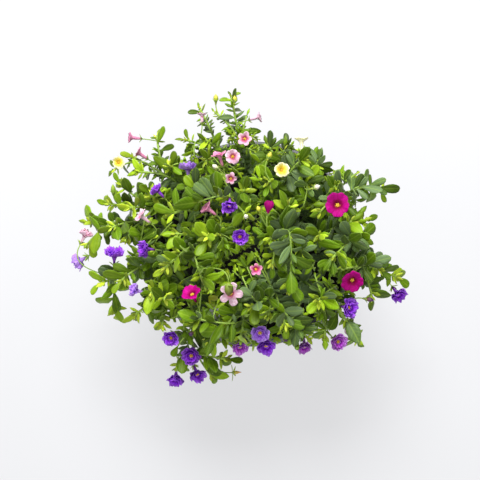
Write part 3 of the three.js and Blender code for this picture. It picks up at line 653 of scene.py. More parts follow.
@dataclass
class Growth:
    """The plant's growth: it sets out stems, blooms and buds, and finds room for each leaf."""

    sprays: list[Spray] = field(default_factory=list)
    blooms: list[Bloom] = field(default_factory=list)

    def grow(self) -> None:
        """Sets out the whole plant, in the order that its seeded draws need."""
        for name, tips in SPRAYS.items():
            first, *rest = [self.tip_at(*tip) for tip in tips]
            main = self.main_stem(first)
            self.sprays.append(Spray(name, [main, *(self.shoot_to(tip, main) for tip in rest)]))
        for name, (x, y, z, heading, lean, breadth, kind, form) in BLOOMS.items():
            bloom = Bloom(name, vector(x, y, z), facing(heading, lean), breadth / 2, kind, form)
            self.blooms.append(bloom)
            pedicel = self.pedicel_to(bloom.foot - bloom.axis * CALYX_GAP, bloom.axis)
            pedicel.calyx = CALYX_REACH * min(1.0, bloom.radius / 8)
        for x, y, z, heading, lean, length, look in BUDS:
            self.pedicel_to(vector(x, y, z), facing(heading, lean)).bud = (length, look)
        self.gather_lines()
        draws = Draws(LEAF_SEED)
        for spray in self.sprays:
            for stem in spray.stems:
                rows = LEAF_ROWS if stem is spray.stems[0] else NEAR_ROWS
                self.grow_leaves(stem, spray, rows, draws)

    @staticmethod
    def tip_at(x: float, y: float, lift: float) -> np.ndarray:
        """Gives a tip's place, from its place seen from above and its lift over the dome."""
        share = (x * x + y * y) / (DOME_RADIUS * DOME_RADIUS)
        return vector(x, y, POT_HEIGHT + max(-DOME_DROP, DOME_HEIGHT * (1 - share)) + lift)

    @staticmethod
    def main_stem(tip: np.ndarray) -> Stem:
        """Gives the stem that rises out of its hole, arches over and ends at a tip."""
        root = vector(tip[0] * ROOT_SHARE, tip[1] * ROOT_SHARE, PEAT_LEVEL + PEAT_CROWN + 1)
        crown = root + (tip - root) * 0.3
        crown[2] = max(tip[2], POT_HEIGHT + 30) + 0.1 * math.hypot(tip[0] - root[0], tip[1] - root[1])
        foot = vector(root[0], root[1], PEAT_LEVEL - HOLE_DEPTH + SEAT_GAP)
        return Stem(root, crown, tip, STEM_RADIUS, foot)

    @staticmethod
    def shoot_to(tip: np.ndarray, main: Stem) -> Stem:
        """Gives the shoot that leaves a main stem about its own length short of its tip."""
        shares = (0.3, 0.4, 0.5, 0.6, 0.7, 0.8)
        share = min(shares, key=lambda s: abs(np.linalg.norm(main.point_at(s) - tip) - SHOOT_LENGTH))
        start = main.point_at(share)
        way = unit(main.tangent_at(share) + UP)
        return Stem(start, start + way * (0.5 * np.linalg.norm(start - tip)), tip, SHOOT_RADIUS)

    def pedicel_to(self, foot: np.ndarray, axis: np.ndarray) -> Stem:
        """Gives the pedicel that leaves the nearest shoot and arrives at a foot along an axis."""
        ahead = foot - axis * 10
        best = None
        for spray in self.sprays:
            for stem in spray.stems:
                for share in (0.5, 0.6, 0.7, 0.8, 0.88):
                    start = stem.point_at(share)
                    curl = 100 if (foot - start) @ axis < SHORTEST_PEDICEL else 0
                    cost = np.linalg.norm(start - ahead) + curl
                    if best is None or cost < best[0]:
                        best = (cost, start, spray)
        _, start, spray = best
        bend = foot - axis * (0.5 * np.linalg.norm(start - foot))
        pedicel = Stem(start, bend, foot, PEDICEL_RADIUS)
        spray.pedicels.append(pedicel)
        return pedicel

    def gather_lines(self) -> None:
        """Gathers the chains of all stems, for the tests of room."""
        every = [(i, stem) for i, spray in enumerate(self.sprays) for stem in (*spray.stems, *spray.pedicels)]
        owners = np.repeat([i for i, _ in every], STEM_LINES)
        self.firsts = np.searchsorted(owners, np.arange(len(self.sprays)))
        self.starts = np.concatenate([stem.chain[:-1] for _, stem in every])
        self.spans = np.concatenate([np.diff(stem.chain, axis=0) for _, stem in every])
        self.span_squares = (self.spans**2).sum(1)
        self.places = {id(stem): k for k, (_, stem) in enumerate(every)}
        facts = ((b.limb, b.axis, b.foot, b.tube, b.rise, b.radius) for b in self.blooms)
        columns = [np.array(column) for column in zip(*facts)]
        self.limbs, self.axes, self.feet, self.tubes, self.rises, self.bloom_radii = columns

    def line_distances(self, points: np.ndarray) -> np.ndarray:
        """Gives the distance from each point to each line of each stem's chain."""
        apart = points[:, None] - self.starts[None]
        share = np.clip((apart * self.spans).sum(2) / self.span_squares, 0, 1)
        return np.linalg.norm(apart - share[..., None] * self.spans, axis=2)

    def spray_distances(self, points: np.ndarray) -> np.ndarray:
        """Gives the distance from each point to each spray."""
        return np.minimum.reduceat(self.line_distances(points), self.firsts, axis=1)

    @staticmethod
    def in_pot(point: np.ndarray) -> bool:
        """Tells whether a point is in the pot's wall or the peat, or too near to either."""
        radius = math.hypot(point[0], point[1])
        if point[2] < GROUND_ROOM:
            return True
        if point[2] > POT_HEIGHT + 2:
            return False
        inside = radius < inner_radius(point[2]) - WALL_ROOM and point[2] > PEAT_LEVEL + PEAT_CROWN + 2
        wall = RIM_RADIUS if point[2] > BAND_FOOT - 4 else pot_radius(point[2])
        return not inside and radius < wall + WALL_ROOM

    @staticmethod
    def near_label(point: np.ndarray) -> bool:
        """Tells whether a point is in the plant label, or too near to it."""
        turn = math.radians(90 - LABEL_LEAN)
        x, y, z = point - LABEL_FOOT
        along = y * math.cos(turn) + z * math.sin(turn)
        through = z * math.cos(turn) - y * math.sin(turn)
        beside = abs(x) < LABEL_WIDTH / 2 + 2
        return beside and abs(through) < 3 and 0 < along < STAKE_LENGTH + LABEL_HEIGHT + 2

    def blocked(self, points: np.ndarray) -> bool:
        """Tells whether any point is in the pot, peat, label or a bloom, or over a bloom's lit face."""
        if any(self.in_pot(point) or self.near_label(point) for point in points):
            return True
        apart = points[:, None] - self.feet[None]
        height = (apart * self.axes).sum(2)
        aside = np.linalg.norm(apart - height[..., None] * self.axes, axis=2)
        room = np.where(height < self.tubes * 0.5, TUBE_ROOM, self.bloom_radii + BLOOM_ROOM)
        within = (height > -5) & (height < self.tubes + self.rises + 4) & (aside < room)
        above = points[:, None] - self.limbs[None]
        lit = above @ LIGHT
        beside = np.linalg.norm(above - lit[..., None] * LIGHT, axis=2)
        return bool((within | ((lit > 0) & (beside < 0.8 * self.bloom_radii))).any())

    def has_room(self, leaf: Leaf, stem: Stem, spray: Spray, clearance: float, offset: float) -> bool:
        """Tells whether a leaf is clear of all that it doesn't grow from.

        Args:
            leaf: The leaf.
            stem: The stem that it grows from.
            spray: The spray that it belongs to.
            clearance: How much nearer to its own spray than to any other each of its points is.
            offset: How far apart two blades stay.

        Returns:
            True where it has room.
        """
        points = leaf.at(FEELERS)
        if self.blocked(points):
            return False
        distances = self.line_distances(points)
        nearest = np.minimum.reduceat(distances, self.firsts, axis=1)
        own = self.sprays.index(spray)
        rest = np.delete(nearest, own, axis=1)
        if (rest < nearest[:, own : own + 1] + clearance).any():
            return False
        from_middle = self.line_distances(leaf.middle[None])[0]
        skip = self.places.get(id(stem), -1)
        for other in (*spray.stems, *spray.pedicels):
            place = self.places[id(other)]
            mine = slice(place * STEM_LINES, (place + 1) * STEM_LINES)
            if place == skip or from_middle[mine].min() > leaf.length:
                continue
            if distances[:, mine].min() < other.radius + offset:
                return False
            lines = np.stack([other.chain[:-1], other.chain[1:]], axis=1)
            if pierced(lines, leaf.faces):
                return False
        return not self.crosses(leaf, spray, offset)

    @staticmethod
    def crosses(leaf: Leaf, spray: Spray, offset: float) -> bool:
        """Tells whether a blade crosses another one of its spray, or lies closer than an offset."""
        reach = [(leaf.length + other.length) * 0.6 for other in spray.leaves]
        near = [o for o, r in zip(spray.leaves, reach) if math.dist(o.middle, leaf.middle) <= r]
        if not near:
            return False
        faces = np.concatenate([other.faces for other in near])
        lines = np.concatenate([other.lines for other in near])
        moved = [leaf.panes(over) for over in (-offset, 0.0, offset)]
        own_faces = np.concatenate([f for f, _ in moved])
        own_lines = np.concatenate([l for _, l in moved])
        return pierced(own_lines, faces) or pierced(lines, own_faces)

    def place(
        self, sprout: Sprout, tries: Tries, arches: Iterable[float], room: tuple[float, float]
    ) -> Leaf | None:
        """Grows a leaf at the first of its tries that has room.

        Args:
            sprout: The leaf that looks for room.
            tries: How it is turned round its stem, raised and shortened at each try.
            arches: How far it arches at each try.
            room: Its clearance and offset.

        Returns:
            The leaf, or None where it found no room.
        """
        for (aside, raised, shorter), arch in zip(tries, arches):
            leaf = sprout.leaf(aside, raised, shorter, arch)
            if self.has_room(leaf, sprout.stem, sprout.spray, *room):
                sprout.spray.leaves.append(leaf)
                sprout.stem.leaves.append((leaf, sprout.share))
                return leaf
        return None

    def grow_leaves(self, stem: Stem, spray: Spray, rows: tuple, draws: Draws) -> None:
        """Grows the rows of main leaves of one stem. A stem whose tip finds no leaf ends in a bud."""
        start = TAU * draws.next()
        size = stem.vigour()
        tipped = False
        for index, (back, row_length, row_pitch) in enumerate(rows):
            a, b, c, d, e = (draws.next() for _ in range(5))
            share = 1 - back * size / stem.length
            if share < 0.15:
                continue
            turn = start + math.radians(LEAF_SPIRAL * index + 30 * (a - 0.5))
            pitch = math.radians(row_pitch * (0.88 + 0.24 * b))
            length = size * row_length * (0.85 + 0.3 * c)
            width = length * LEAF_SLENDER * (0.88 + 0.24 * d)
            sprout = Sprout(stem, spray, share, turn, pitch, length, width)
            leaf = self.place(sprout, TRIES, repeat(0.08 + 0.2 * e), (LEAF_CLEARANCE, LEAF_THICKNESS))
            if leaf:
                leaf.age = min(1.0, 0.34 + back / 95 + 0.35 * (b - 0.5) + 0.5 * max(0.0, d - 0.7))
                leaf.tone = a
                tipped = tipped or back == 0
        if not tipped:
            stem.bud = (6.0, BudLook.GREEN)

    def fill_out(self) -> None:
        """Grows the smaller leaves between the main ones, the tufts at the tips and the twigs in the gaps."""
        draws = Draws(FILL_SEED)
        stems = [(i, stem) for i, spray in enumerate(self.sprays) for stem in spray.stems]
        starts = [(i, stem, share) for i, stem in stems for share in BUD_SHARES]
        self.bud_owners = np.array([i for i, _, _ in starts])
        self.buds = np.array([stem.point_at(share) for _, stem, share in starts])
        self.ways = np.array([stem.tangent_at(share) for _, stem, share in starts])
        for _, stem in stems:
            for leaf, share in stem.leaves:
                leaf.shrink(0.7 if share > 0.99 else 1 - 0.25 * smoothstep(leaf.length, 18, 36))
        for i, stem in stems:
            size = stem.vigour()
            self.grow_tuft(stem, self.sprays[i], size, draws)
            back = 9.0
            while back < stem.length * 0.86:
                self.grow_between(stem, self.sprays[i], back, size, draws)
                back += FILL_STEP * size * draws.between(0.8, 1.2)
        drops = (4, 18, 32, 46, 60, 74, 88)
        low_drops = (62, 74, 86, 98)
        lit = Outlook(LIGHT, EYE_DISTANCE, edge=120, drops=drops, enough=6, from_y=-TWIG_LIMIT)
        behind = Outlook(FROM_BEHIND, EVEN_DISTANCE, edge=104, drops=low_drops, enough=5, from_y=0)
        self.grow_twigs(lit, draws)
        self.grow_twigs(behind, draws)
        for x, y, z, heading, lean, length, look in CAPSULES:
            self.pedicel_to(vector(x, y, z), facing(heading, lean)).bud = (length, look)
        # Leaves towards the right front take a darker, older green, and the rest a slightly lighter one.
        for spray in self.sprays:
            for leaf in spray.leaves:
                inward = smoothstep(leaf.root[0], -50, 50) * (1 - smoothstep(leaf.root[1], 10, 70))
                leaf.age = min(1.0, leaf.age * (0.92 + 0.3 * inward))

    def grow_tuft(self, stem: Stem, spray: Spray, size: float, draws: Draws) -> None:
        """Grows a rosette of small young leaves at a stem's tip."""
        start = TAU * draws.next()
        for index in range(TUFT_LEAVES):
            share = 1 - (0.6 + 0.9 * index) / stem.length
            pitch = math.radians(20 + 9 * index + draws.between(-6, 8))
            length = size * (7 + 1.1 * index) * draws.between(0.85, 1.15)
            turn = start + math.radians(LEAF_SPIRAL * index)
            width = length * draws.between(0.34, 0.46)
            age = 0.03 * index + draws.between(0.0, 0.06)
            tone = draws.next()
            arches = (draws.between(0.0, 0.25) for _ in TUFT_TRIES)
            sprout = Sprout(stem, spray, share, turn, pitch, length, width)
            leaf = self.place(sprout, TUFT_TRIES, arches, (FILL_CLEARANCE, TUFT_OFFSET))
            if leaf:
                leaf.age, leaf.tone = age, tone

    def grow_between(self, stem: Stem, spray: Spray, back: float, size: float, draws: Draws) -> None:
        """Grows one leaf between the main ones, where it finds room."""
        turn = TAU * draws.next()
        pitch = math.radians(draws.between(44, 78))
        length = size * draws.between(13, 25) * (0.62 + 0.38 * smoothstep(back, 0, 40))
        width = length * draws.between(0.36, 0.54)
        arch = draws.between(0.05, 0.3)
        tone = draws.next()
        age = min(1.0, 0.2 + back / 60 + draws.between(-0.12, 0.25))
        sprout = Sprout(stem, spray, 1 - back / stem.length, turn, pitch, length, width)
        leaf = self.place(sprout, FILL_TRIES, repeat(arch), (FILL_CLEARANCE, FILL_OFFSET))
        if leaf:
            leaf.age, leaf.tone = age, tone

    def grow_twigs(self, outlook: Outlook, draws: Draws) -> None:
        """Grows leafy twigs to the open places of the canopy over the pot.

        Args:
            outlook: Where the canopy is seen from.
            draws: The seeded draws.
        """
        covered: set[tuple[int, int]] = set()
        for spray in self.sprays:
            covered.update(*map(outlook.shaded_by, spray.leaves))
        reach, below, above = (int(size / CELL) for size in SEEN_SIZES)
        cells = [(i, j) for i in range(-reach, reach) for j in range(-below, above)]
        for cell in sorted(cells, key=lambda _: draws.next()):
            ring = [(cell[0] + i, cell[1] + j) for i in (-1, 0, 1) for j in (-1, 0, 1)]
            if sum(near in covered for near in ring) > outlook.enough:
                continue
            first = draws.between(0, 22)
            for drop in outlook.drops:
                target = outlook.target_of(cell, first + drop)
                twig, spray = (None, None) if target is None else self.twig_to(target)
                if twig is None:
                    continue
                before = len(spray.leaves)
                self.leaf_twig(twig, spray, draws)
                if len(spray.leaves) < before + FEWEST_LEAVES:
                    del spray.leaves[before:]
                    continue
                spray.twigs.append(twig)
                covered.update(*map(outlook.shaded_by, spray.leaves[before:]))
                break

    def twig_to(self, target: np.ndarray) -> tuple[Stem | None, Spray | None]:
        """Gives the twig to a place from the spray that is nearest to it, or None where it has no room."""
        own = int(self.spray_distances(target[None])[0].argmin())
        apart = np.linalg.norm(self.buds - target, axis=1)
        apart[(self.bud_owners != own) | (apart < TWIG_REACH[0])] = np.inf
        for best in apart.argsort()[:6]:
            distance = float(apart[best])
            if distance > TWIG_REACH[1]:
                break
            start, way = self.buds[best], self.ways[best]
            for share in (0.45, 0.15):
                bend = start + unit(way + UP) * (share * distance)
                twig = Stem(start, bend, target, TWIG_RADIUS)
                points = twig.chain[1:]
                if not self.blocked(points) and (self.spray_distances(points).argmin(axis=1) == own).all():
                    return twig, self.sprays[own]
        return None, None

    def leaf_twig(self, twig: Stem, spray: Spray, draws: Draws) -> None:
        """Grows the leaves of a twig, from its tuft down."""
        size = twig.vigour(0.4 + 0.6 * smoothstep(twig.end[2], LOW_LEVEL, HIGH_LEVEL))
        before = len(spray.leaves)
        self.grow_tuft(twig, spray, size, draws)
        for leaf in spray.leaves[before:]:
            leaf.age += 0.16
        back = 6.0
        while back < twig.length * 0.9:
            turn = math.radians(LEAF_SPIRAL) * back / TWIG_STEP + draws.between(-0.4, 0.4)
            length = size * draws.between(14, 22) * (0.6 + 0.4 * smoothstep(back, 0, 18))
            width = length * draws.between(0.38, 0.54)
            pitch = math.radians(draws.between(40, 76))
            arch = draws.between(0.05, 0.3)
            sprout = Sprout(twig, spray, 1 - back / twig.length, turn, pitch, length, width)
            leaf = self.place(sprout, TWIG_TRIES, repeat(arch), (FILL_CLEARANCE, FILL_OFFSET))
            if leaf:
                leaf.age = min(1.0, 0.28 + back / 55 + draws.between(-0.1, 0.25))
                leaf.tone = draws.next()
            back += TWIG_STEP * size * draws.between(0.8, 1.2)


# ------------------------------------------------------------------ modelling tools

Object = bpy.types.Object
Material = bpy.types.Material
Box = tuple[Vector, Vector]


def deselect_all() -> None:
    """Deselects every object, so that an operator acts on the new one alone."""
    if bpy.context.object and bpy.context.object.mode != "OBJECT":
        bpy.ops.object.mode_set(mode="OBJECT")
    bpy.ops.object.select_all(action="DESELECT")


def select_parts(obj: Object, kind: str, test: Callable[..., bool]) -> None:
    """Selects in edit mode the points, edges or faces of a mesh whose corners pass a test.

    Args:
        obj: The object, in edit mode.
        kind: "VERT", "EDGE" or "FACE".
        test: Takes the places of a part's corners, one by one.
    """
    mesh = bmesh.from_edit_mesh(obj.data)
    bpy.context.tool_settings.mesh_select_mode = tuple(kind == mode for mode in ("VERT", "EDGE", "FACE"))
    if kind == "VERT":
        for vert in mesh.verts:
            vert.select_set(test(vert.co))
    else:
        for part in mesh.edges if kind == "EDGE" else mesh.faces:
            part.select_set(test(*(vert.co for vert in part.verts)))
    mesh.select_mode = {kind}
    mesh.select_flush_mode()
    bmesh.update_edit_mesh(obj.data)


@dataclass
class Shape:
    """A modelled pattern that is copied: its points and its faces."""

    points: np.ndarray
    faces: list[tuple[int, ...]]

    @classmethod
    def taken_from(cls, obj: Object) -> "Shape":
        """Takes the pattern from a modelled object, and removes the object."""
        deselect_all()
        points = np.array([vert.co[:] for vert in obj.data.vertices], float)
        faces = [tuple(face.vertices) for face in obj.data.polygons]
        mesh = obj.data
        bpy.data.objects.remove(obj)
        bpy.data.meshes.remove(mesh)
        return cls(points, faces)


def model_blade(stations: tuple[tuple[float, float], ...], across: int, thickness: float) -> Shape:
    """Models a flat leaf blade: X is a share of the half width, Y a share of the length, Z in millimetres.

    Args:
        stations: Pairs of a share of the length and a share of the half width there.
        across: The number of faces across.
        thickness: The blade's thickness, in millimetres.

    Returns:
        The pattern.
    """
    deselect_all()
    rows = len(stations) - 1
    bpy.ops.mesh.primitive_grid_add(x_subdivisions=across, y_subdivisions=rows, size=2, location=(0, 0, 0))
    obj = bpy.context.object
    bpy.ops.object.mode_set(mode="EDIT")
    for row, (share, half) in enumerate(stations):
        height = -1 + 2 * row / rows
        select_parts(obj, "VERT", lambda co, height=height: abs(co.y - height) < 1e-4)
        bpy.ops.transform.resize(value=(max(half, 1e-3), 1, 1), center_override=(0, height, 0))
        bpy.ops.transform.translate(value=(0, 10 + share - height, 0))
    bpy.ops.mesh.select_all(action="SELECT")
    bpy.ops.transform.translate(value=(0, -10, 0))
    bpy.ops.mesh.remove_doubles(threshold=4e-3)
    bpy.ops.object.mode_set(mode="OBJECT")
    solidify = obj.modifiers.new("thickness", "SOLIDIFY")
    solidify.thickness = thickness
    solidify.offset = 0
    bpy.ops.object.modifier_apply(modifier="thickness")
    return Shape.taken_from(obj)


def model_sleeve(sides: int, rings: int) -> Shape:
    """Models a closed sleeve of one unit's radius, with rings one unit apart, to be drawn over a form."""
    deselect_all()
    bpy.ops.mesh.primitive_circle_add(vertices=sides, radius=1, fill_type="NGON", location=(0, 0, 0))
    obj = bpy.context.object
    bpy.ops.object.mode_set(mode="EDIT")
    bpy.ops.mesh.select_all(action="SELECT")
    for _ in range(rings - 1):
        bpy.ops.mesh.extrude_region_move(TRANSFORM_OT_translate={"value": (0, 0, 1)})
    bpy.ops.mesh.select_all(action="SELECT")
    bpy.ops.mesh.normals_make_consistent(inside=False)
    return Shape.taken_from(obj)


def model_grain(subdivisions: int, squash: float) -> Shape:
    """Models a small rounded grain: an anther, a stigma or a crumb of peat."""
    deselect_all()
    bpy.ops.mesh.primitive_ico_sphere_add(subdivisions=subdivisions, radius=1, location=(0, 0, 0))
    obj = bpy.context.object
    bpy.ops.object.mode_set(mode="EDIT")
    bpy.ops.mesh.select_all(action="SELECT")
    bpy.ops.transform.resize(value=(1, squash, 1))
    select_parts(obj, "VERT", lambda co: co.x > 0.4)
    bpy.ops.transform.resize(value=(1, 0.8, 0.75), center_override=(0.4, 0, 0))
    return Shape.taken_from(obj)


class Batch:
    """Gathers copies of patterns, with what their finishes read, into one mesh."""

    def __init__(self, *channels: str) -> None:
        """Starts an empty batch whose points carry the named channels."""
        self.channels = channels
        self.points: list[np.ndarray] = []
        self.faces: list[tuple[int, ...]] = []
        self.finishes: list[int] = []
        self.values: dict[str, list[np.ndarray]] = {name: [] for name in channels}
        self.maps: list[np.ndarray] = []
        self.count = 0

    def add(
        self, shape: Shape, points: np.ndarray, finish: int, places: np.ndarray | None = None, **values
    ) -> None:
        """Adds a copy of a pattern.

        Args:
            shape: The pattern, for its faces.
            points: The copy's own points, in millimetres.
            finish: The number of its finish.
            places: The copy's places on its own map, one pair for each point.
            values: The channels' values, one for all points or one for each.
        """
        count = len(points)
        self.points.append(points)
        self.faces.extend(tuple(self.count + i for i in face) for face in shape.faces)
        self.finishes.extend([finish] * len(shape.faces))
        for name in self.channels:
            self.values[name].append(np.broadcast_to(np.asarray(values.get(name, 0.0), float), (count,)))
        self.maps.append(np.zeros((count, 2)) if places is None else places)
        self.count += count

    def build(self, name: str, finishes: list[Material], inside: Box) -> Object:
        """Builds the mesh object.

        Args:
            name: The piece's name.
            finishes: Its materials.
            inside: The lowest and highest corner, in metres, that the piece stays within.

        Returns:
            The object, smooth shaded.
        """
        points = np.clip(np.concatenate(self.points) * MM, np.array(inside[0]), np.array(inside[1]))
        mesh = bpy.data.meshes.new(name)
        mesh.from_pydata(points.tolist(), [], self.faces)
        corners = np.zeros(len(mesh.loops), np.int32)
        mesh.loops.foreach_get("vertex_index", corners)
        layer = mesh.uv_layers.new(name="blade")
        layer.data.foreach_set("uv", np.concatenate(self.maps)[corners].astype(np.float32).ravel())
        for channel in self.channels:
            attribute = mesh.attributes.new(channel, "FLOAT", "POINT")
            attribute.data.foreach_set("value", np.concatenate(self.values[channel]).astype(np.float32))
        for material in finishes:
            mesh.materials.append(material)
        mesh.polygons.foreach_set("material_index", np.array(self.finishes, np.int32))
        mesh.polygons.foreach_set("use_smooth", np.ones(len(mesh.polygons), bool))
        mesh.update()
        obj = bpy.data.objects.new(name, mesh)
        bpy.context.scene.collection.objects.link(obj)
        return obj


# ------------------------------------------------------------------ finishes

Tree = bpy.types.NodeTree
Socket = bpy.types.NodeSocket
Inputs = dict[str | int, Socket | float | tuple[float, ...]]


def linear(hex_colour: str) -> tuple[float, float, float, float]:
    """Turns an sRGB hex colour to linear light."""
    parts = [int(hex_colour[i : i + 2], 16) / 255 for i in (1, 3, 5)]
    red, green, blue = (p / 12.92 if p <= 0.04045 else ((p + 0.055) / 1.055) ** 2.4 for p in parts)
    return red, green, blue, 1.0


def feed(tree: Tree, node: bpy.types.Node, inputs: Inputs) -> None:
    """Links or sets what goes into a node, by the socket's name or number."""
    for name, value in inputs.items():
        if isinstance(value, Socket):
            tree.links.new(value, node.inputs[name])
        else:
            node.inputs[name].default_value = value


def add_node(tree: Tree, kind: str, inputs: Inputs, output: int | str = 0, **settings) -> Socket:
    """Adds a node with its settings and links.

    Args:
        tree: The material's node tree.
        kind: The node's type, without the words that every type begins with.
        inputs: What goes into it.
        output: The name or number of the output that is used.
        settings: Properties of the node; "stops" sets a colour ramp.

    Returns:
        The output.
    """
    node = tree.nodes.new("ShaderNode" + kind)
    for name, value in settings.items():
        if name != "stops":
            setattr(node, name, value)
            continue
        elements = node.color_ramp.elements
        while len(elements) < len(value):
            elements.new(0.5)
        for element, (place, colour) in zip(elements, value):
            element.position, element.color = place, linear(colour)
    feed(tree, node, inputs)
    return node.outputs[output]


@dataclass(frozen=True)
class Surface:
    """What the finishes share: a name, a roughness, and fine relief whose grain is in millimetres."""

    name: str
    roughness: float
    relief: float = 0.1
    grain: float = 1.0

    def make(self) -> Material:
        """Makes the material."""
        material = bpy.data.materials.new(self.name)
        material.use_nodes = True
        tree = material.node_tree
        shader = tree.nodes["Principled BSDF"]
        place = add_node(tree, "TexCoord", {}, "Object")
        feed(tree, shader, {"Roughness": self.roughness, **self.coats(tree, place)})
        if self.relief:
            fine = {"Vector": place, "Scale": 1 / (self.grain * MM), "Detail": 3}
            speckle = add_node(tree, "TexNoise", fine)
            bump = {"Height": speckle, "Strength": self.relief, "Distance": 0.3 * self.grain * MM}
            feed(tree, shader, {"Normal": add_node(tree, "Bump", bump)})
        return material

    def coats(self, tree: Tree, place: Socket) -> Inputs:
        """Gives what each finish feeds its shader with, laid out on the Object coordinates."""
        raise NotImplementedError


@dataclass(frozen=True)
class LeafTissue(Surface):
    """Living leaf: a green that deepens with age, a paler midrib and side veins, and a pale dull underside.

    The short hairs that cover it are too fine to show, so a faint sheen stands for them.
    """

    ages: tuple[tuple[float, str], ...] = (
        (0.0, "#C0CE44"),
        (0.12, "#A0B62A"),
        (0.28, "#799810"),
        (0.5, "#567606"),
        (0.76, "#3C5606"),
        (1.0, "#5A7048"),
    )
    midrib: str = "#8FA83A"
    underside: str = "#86A04A"
    hairs: str = "#E6F0B4"
    vein_pairs: float = 6.5

    def coats(self, tree: Tree, place: Socket) -> Inputs:
        """Gives the greens by age, the veins and the underside."""
        age = add_node(tree, "Attribute", {}, "Fac", attribute_name="age")
        tone = add_node(tree, "Attribute", {}, "Fac", attribute_name="tone")
        under = add_node(tree, "Attribute", {}, "Fac", attribute_name="under")
        patches = add_node(tree, "TexNoise", {"Vector": place, "Scale": 1 / (9 * MM)})
        shift = add_node(tree, "Math", {0: patches, 1: 0.3, 2: -0.15}, operation="MULTIPLY_ADD")
        spread = add_node(tree, "Math", {0: age, 1: shift}, operation="ADD", use_clamp=True)
        green = add_node(tree, "ValToRGB", {"Fac": spread}, stops=self.ages)
        blade = add_node(tree, "TexCoord", {}, "UV")
        across = add_node(tree, "SeparateXYZ", {"Vector": blade}, "X")
        along = add_node(tree, "SeparateXYZ", {"Vector": blade}, "Y")
        centred = add_node(tree, "Math", {0: across, 1: 0.5}, operation="SUBTRACT")
        aside = add_node(tree, "Math", {0: centred}, operation="ABSOLUTE")
        near_rib = {"Value": aside, "From Min": 0.015, "From Max": 0.07, "To Min": 0.32, "To Max": 0}
        rib = add_node(tree, "MapRange", near_rib, interpolation_type="SMOOTHSTEP")
        slope = add_node(tree, "Math", {0: aside, 1: -0.55, 2: along}, operation="MULTIPLY_ADD")
        rows = add_node(tree, "Math", {0: slope, 1: self.vein_pairs * TAU}, operation="MULTIPLY")
        wave = add_node(tree, "Math", {0: rows}, operation="SINE")
        crest = {"Value": wave, "From Min": 0.6, "From Max": 1, "To Min": 0, "To Max": 0.12}
        vein = add_node(tree, "MapRange", crest, interpolation_type="SMOOTHSTEP")
        lines = add_node(tree, "Math", {0: rib, 1: vein}, operation="MAXIMUM")
        veined = add_node(tree, "Mix", {0: lines, 6: green, 7: linear(self.midrib)}, 2, data_type="RGBA")
        turned = add_node(tree, "Mix", {0: under, 6: veined, 7: linear(self.underside)}, 2, data_type="RGBA")
        bright = add_node(tree, "MapRange", {"Value": tone, "To Min": 0.54, "To Max": 1.6})
        return {
            "Base Color": add_node(tree, "HueSaturation", {"Color": turned, "Value": bright}),
            "Specular IOR Level": 0.18,
            "Sheen Weight": 0.14,
            "Sheen Roughness": 0.4,
            "Sheen Tint": linear(self.hairs),
        }


@dataclass(frozen=True)
class StemTissue(Surface):
    """Soft green stem: yellow-green and downy towards the tip, deeper towards the root."""

    young: str = "#93B23A"
    old: str = "#5F7F2A"

    def coats(self, tree: Tree, place: Socket) -> Inputs:
        """Gives the green by age, and a sheen for the down."""
        age = add_node(tree, "Attribute", {}, "Fac", attribute_name="age")
        patches = add_node(tree, "TexNoise", {"Vector": place, "Scale": 1 / (5 * MM)})
        mixed = add_node(tree, "Math", {0: patches, 1: 0.3, 2: age}, operation="MULTIPLY_ADD", use_clamp=True)
        green = add_node(tree, "ValToRGB", {"Fac": mixed}, stops=((0.1, self.young), (0.95, self.old)))
        return {"Base Color": green, "Sheen Weight": 0.15}


@dataclass(frozen=True)
class Petal(Surface):
    """Soft petal: a yellow throat in a darker ring, then a streaked and patchy blade, duller at its back."""

    tones: tuple[str, ...] = ()
    throat_to: float = 0.16
    ring_to: float = 0.36
    mottle: float = 0.4
    streaks: float = 4.5

    def coats(self, tree: Tree, place: Socket) -> Inputs:
        """Gives the colours from the throat out, with streaks along each lobe, and a brightness that carries
        painted light.
        """
        throat, ring, blade, edge, back, vein = self.tones
        channels = ("reach", "lobe", "under", "tone")
        reach, lobe, under, tone = (
            add_node(tree, "Attribute", {}, "Fac", attribute_name=channel) for channel in channels
        )
        stops = (
            (0.0, throat),
            (self.throat_to, throat),
            (self.throat_to + 0.06, ring),
            (self.ring_to, ring),
            (self.ring_to + 0.2, blade),
            (1.0, edge),
        )
        patches = add_node(tree, "TexNoise", {"Vector": place, "Scale": 1 / (2.2 * MM)})
        shift = add_node(tree, "Math", {0: patches, 1: 0.3, 2: -0.15}, operation="MULTIPLY_ADD")
        moved = add_node(tree, "Math", {0: reach, 1: shift}, operation="ADD")
        colour = add_node(tree, "ValToRGB", {"Fac": moved}, stops=stops)
        fine = add_node(tree, "Math", {0: lobe, 1: self.streaks * TAU}, operation="MULTIPLY")
        wave = add_node(tree, "Math", {0: fine}, operation="COSINE")
        streaked = {"Value": wave, "From Min": -0.3, "From Max": 1, "To Min": 0, "To Max": 0.65}
        spotted = {"Value": patches, "From Min": 0.62, "From Max": 0.42, "To Min": 0, "To Max": self.mottle}
        marks = {0: add_node(tree, "MapRange", streaked), 1: add_node(tree, "MapRange", spotted)}
        darker = add_node(tree, "Math", marks, operation="MAXIMUM")
        turned = add_node(tree, "Mix", {0: under, 6: colour, 7: linear(back)}, 2, data_type="RGBA")
        veined = add_node(tree, "Mix", {0: darker, 6: turned, 7: linear(vein)}, 2, data_type="RGBA")
        # The tone brightens each corolla at random, and also carries painted light: brighter raised lobes and
        # inner corollas, darker low ones.
        bright = add_node(tree, "MapRange", {"Value": tone, "To Min": 0.62, "To Max": 1.3})
        toned = add_node(tree, "HueSaturation", {"Color": veined, "Value": bright})
        return {"Base Color": toned, "Specular IOR Level": 0.1}


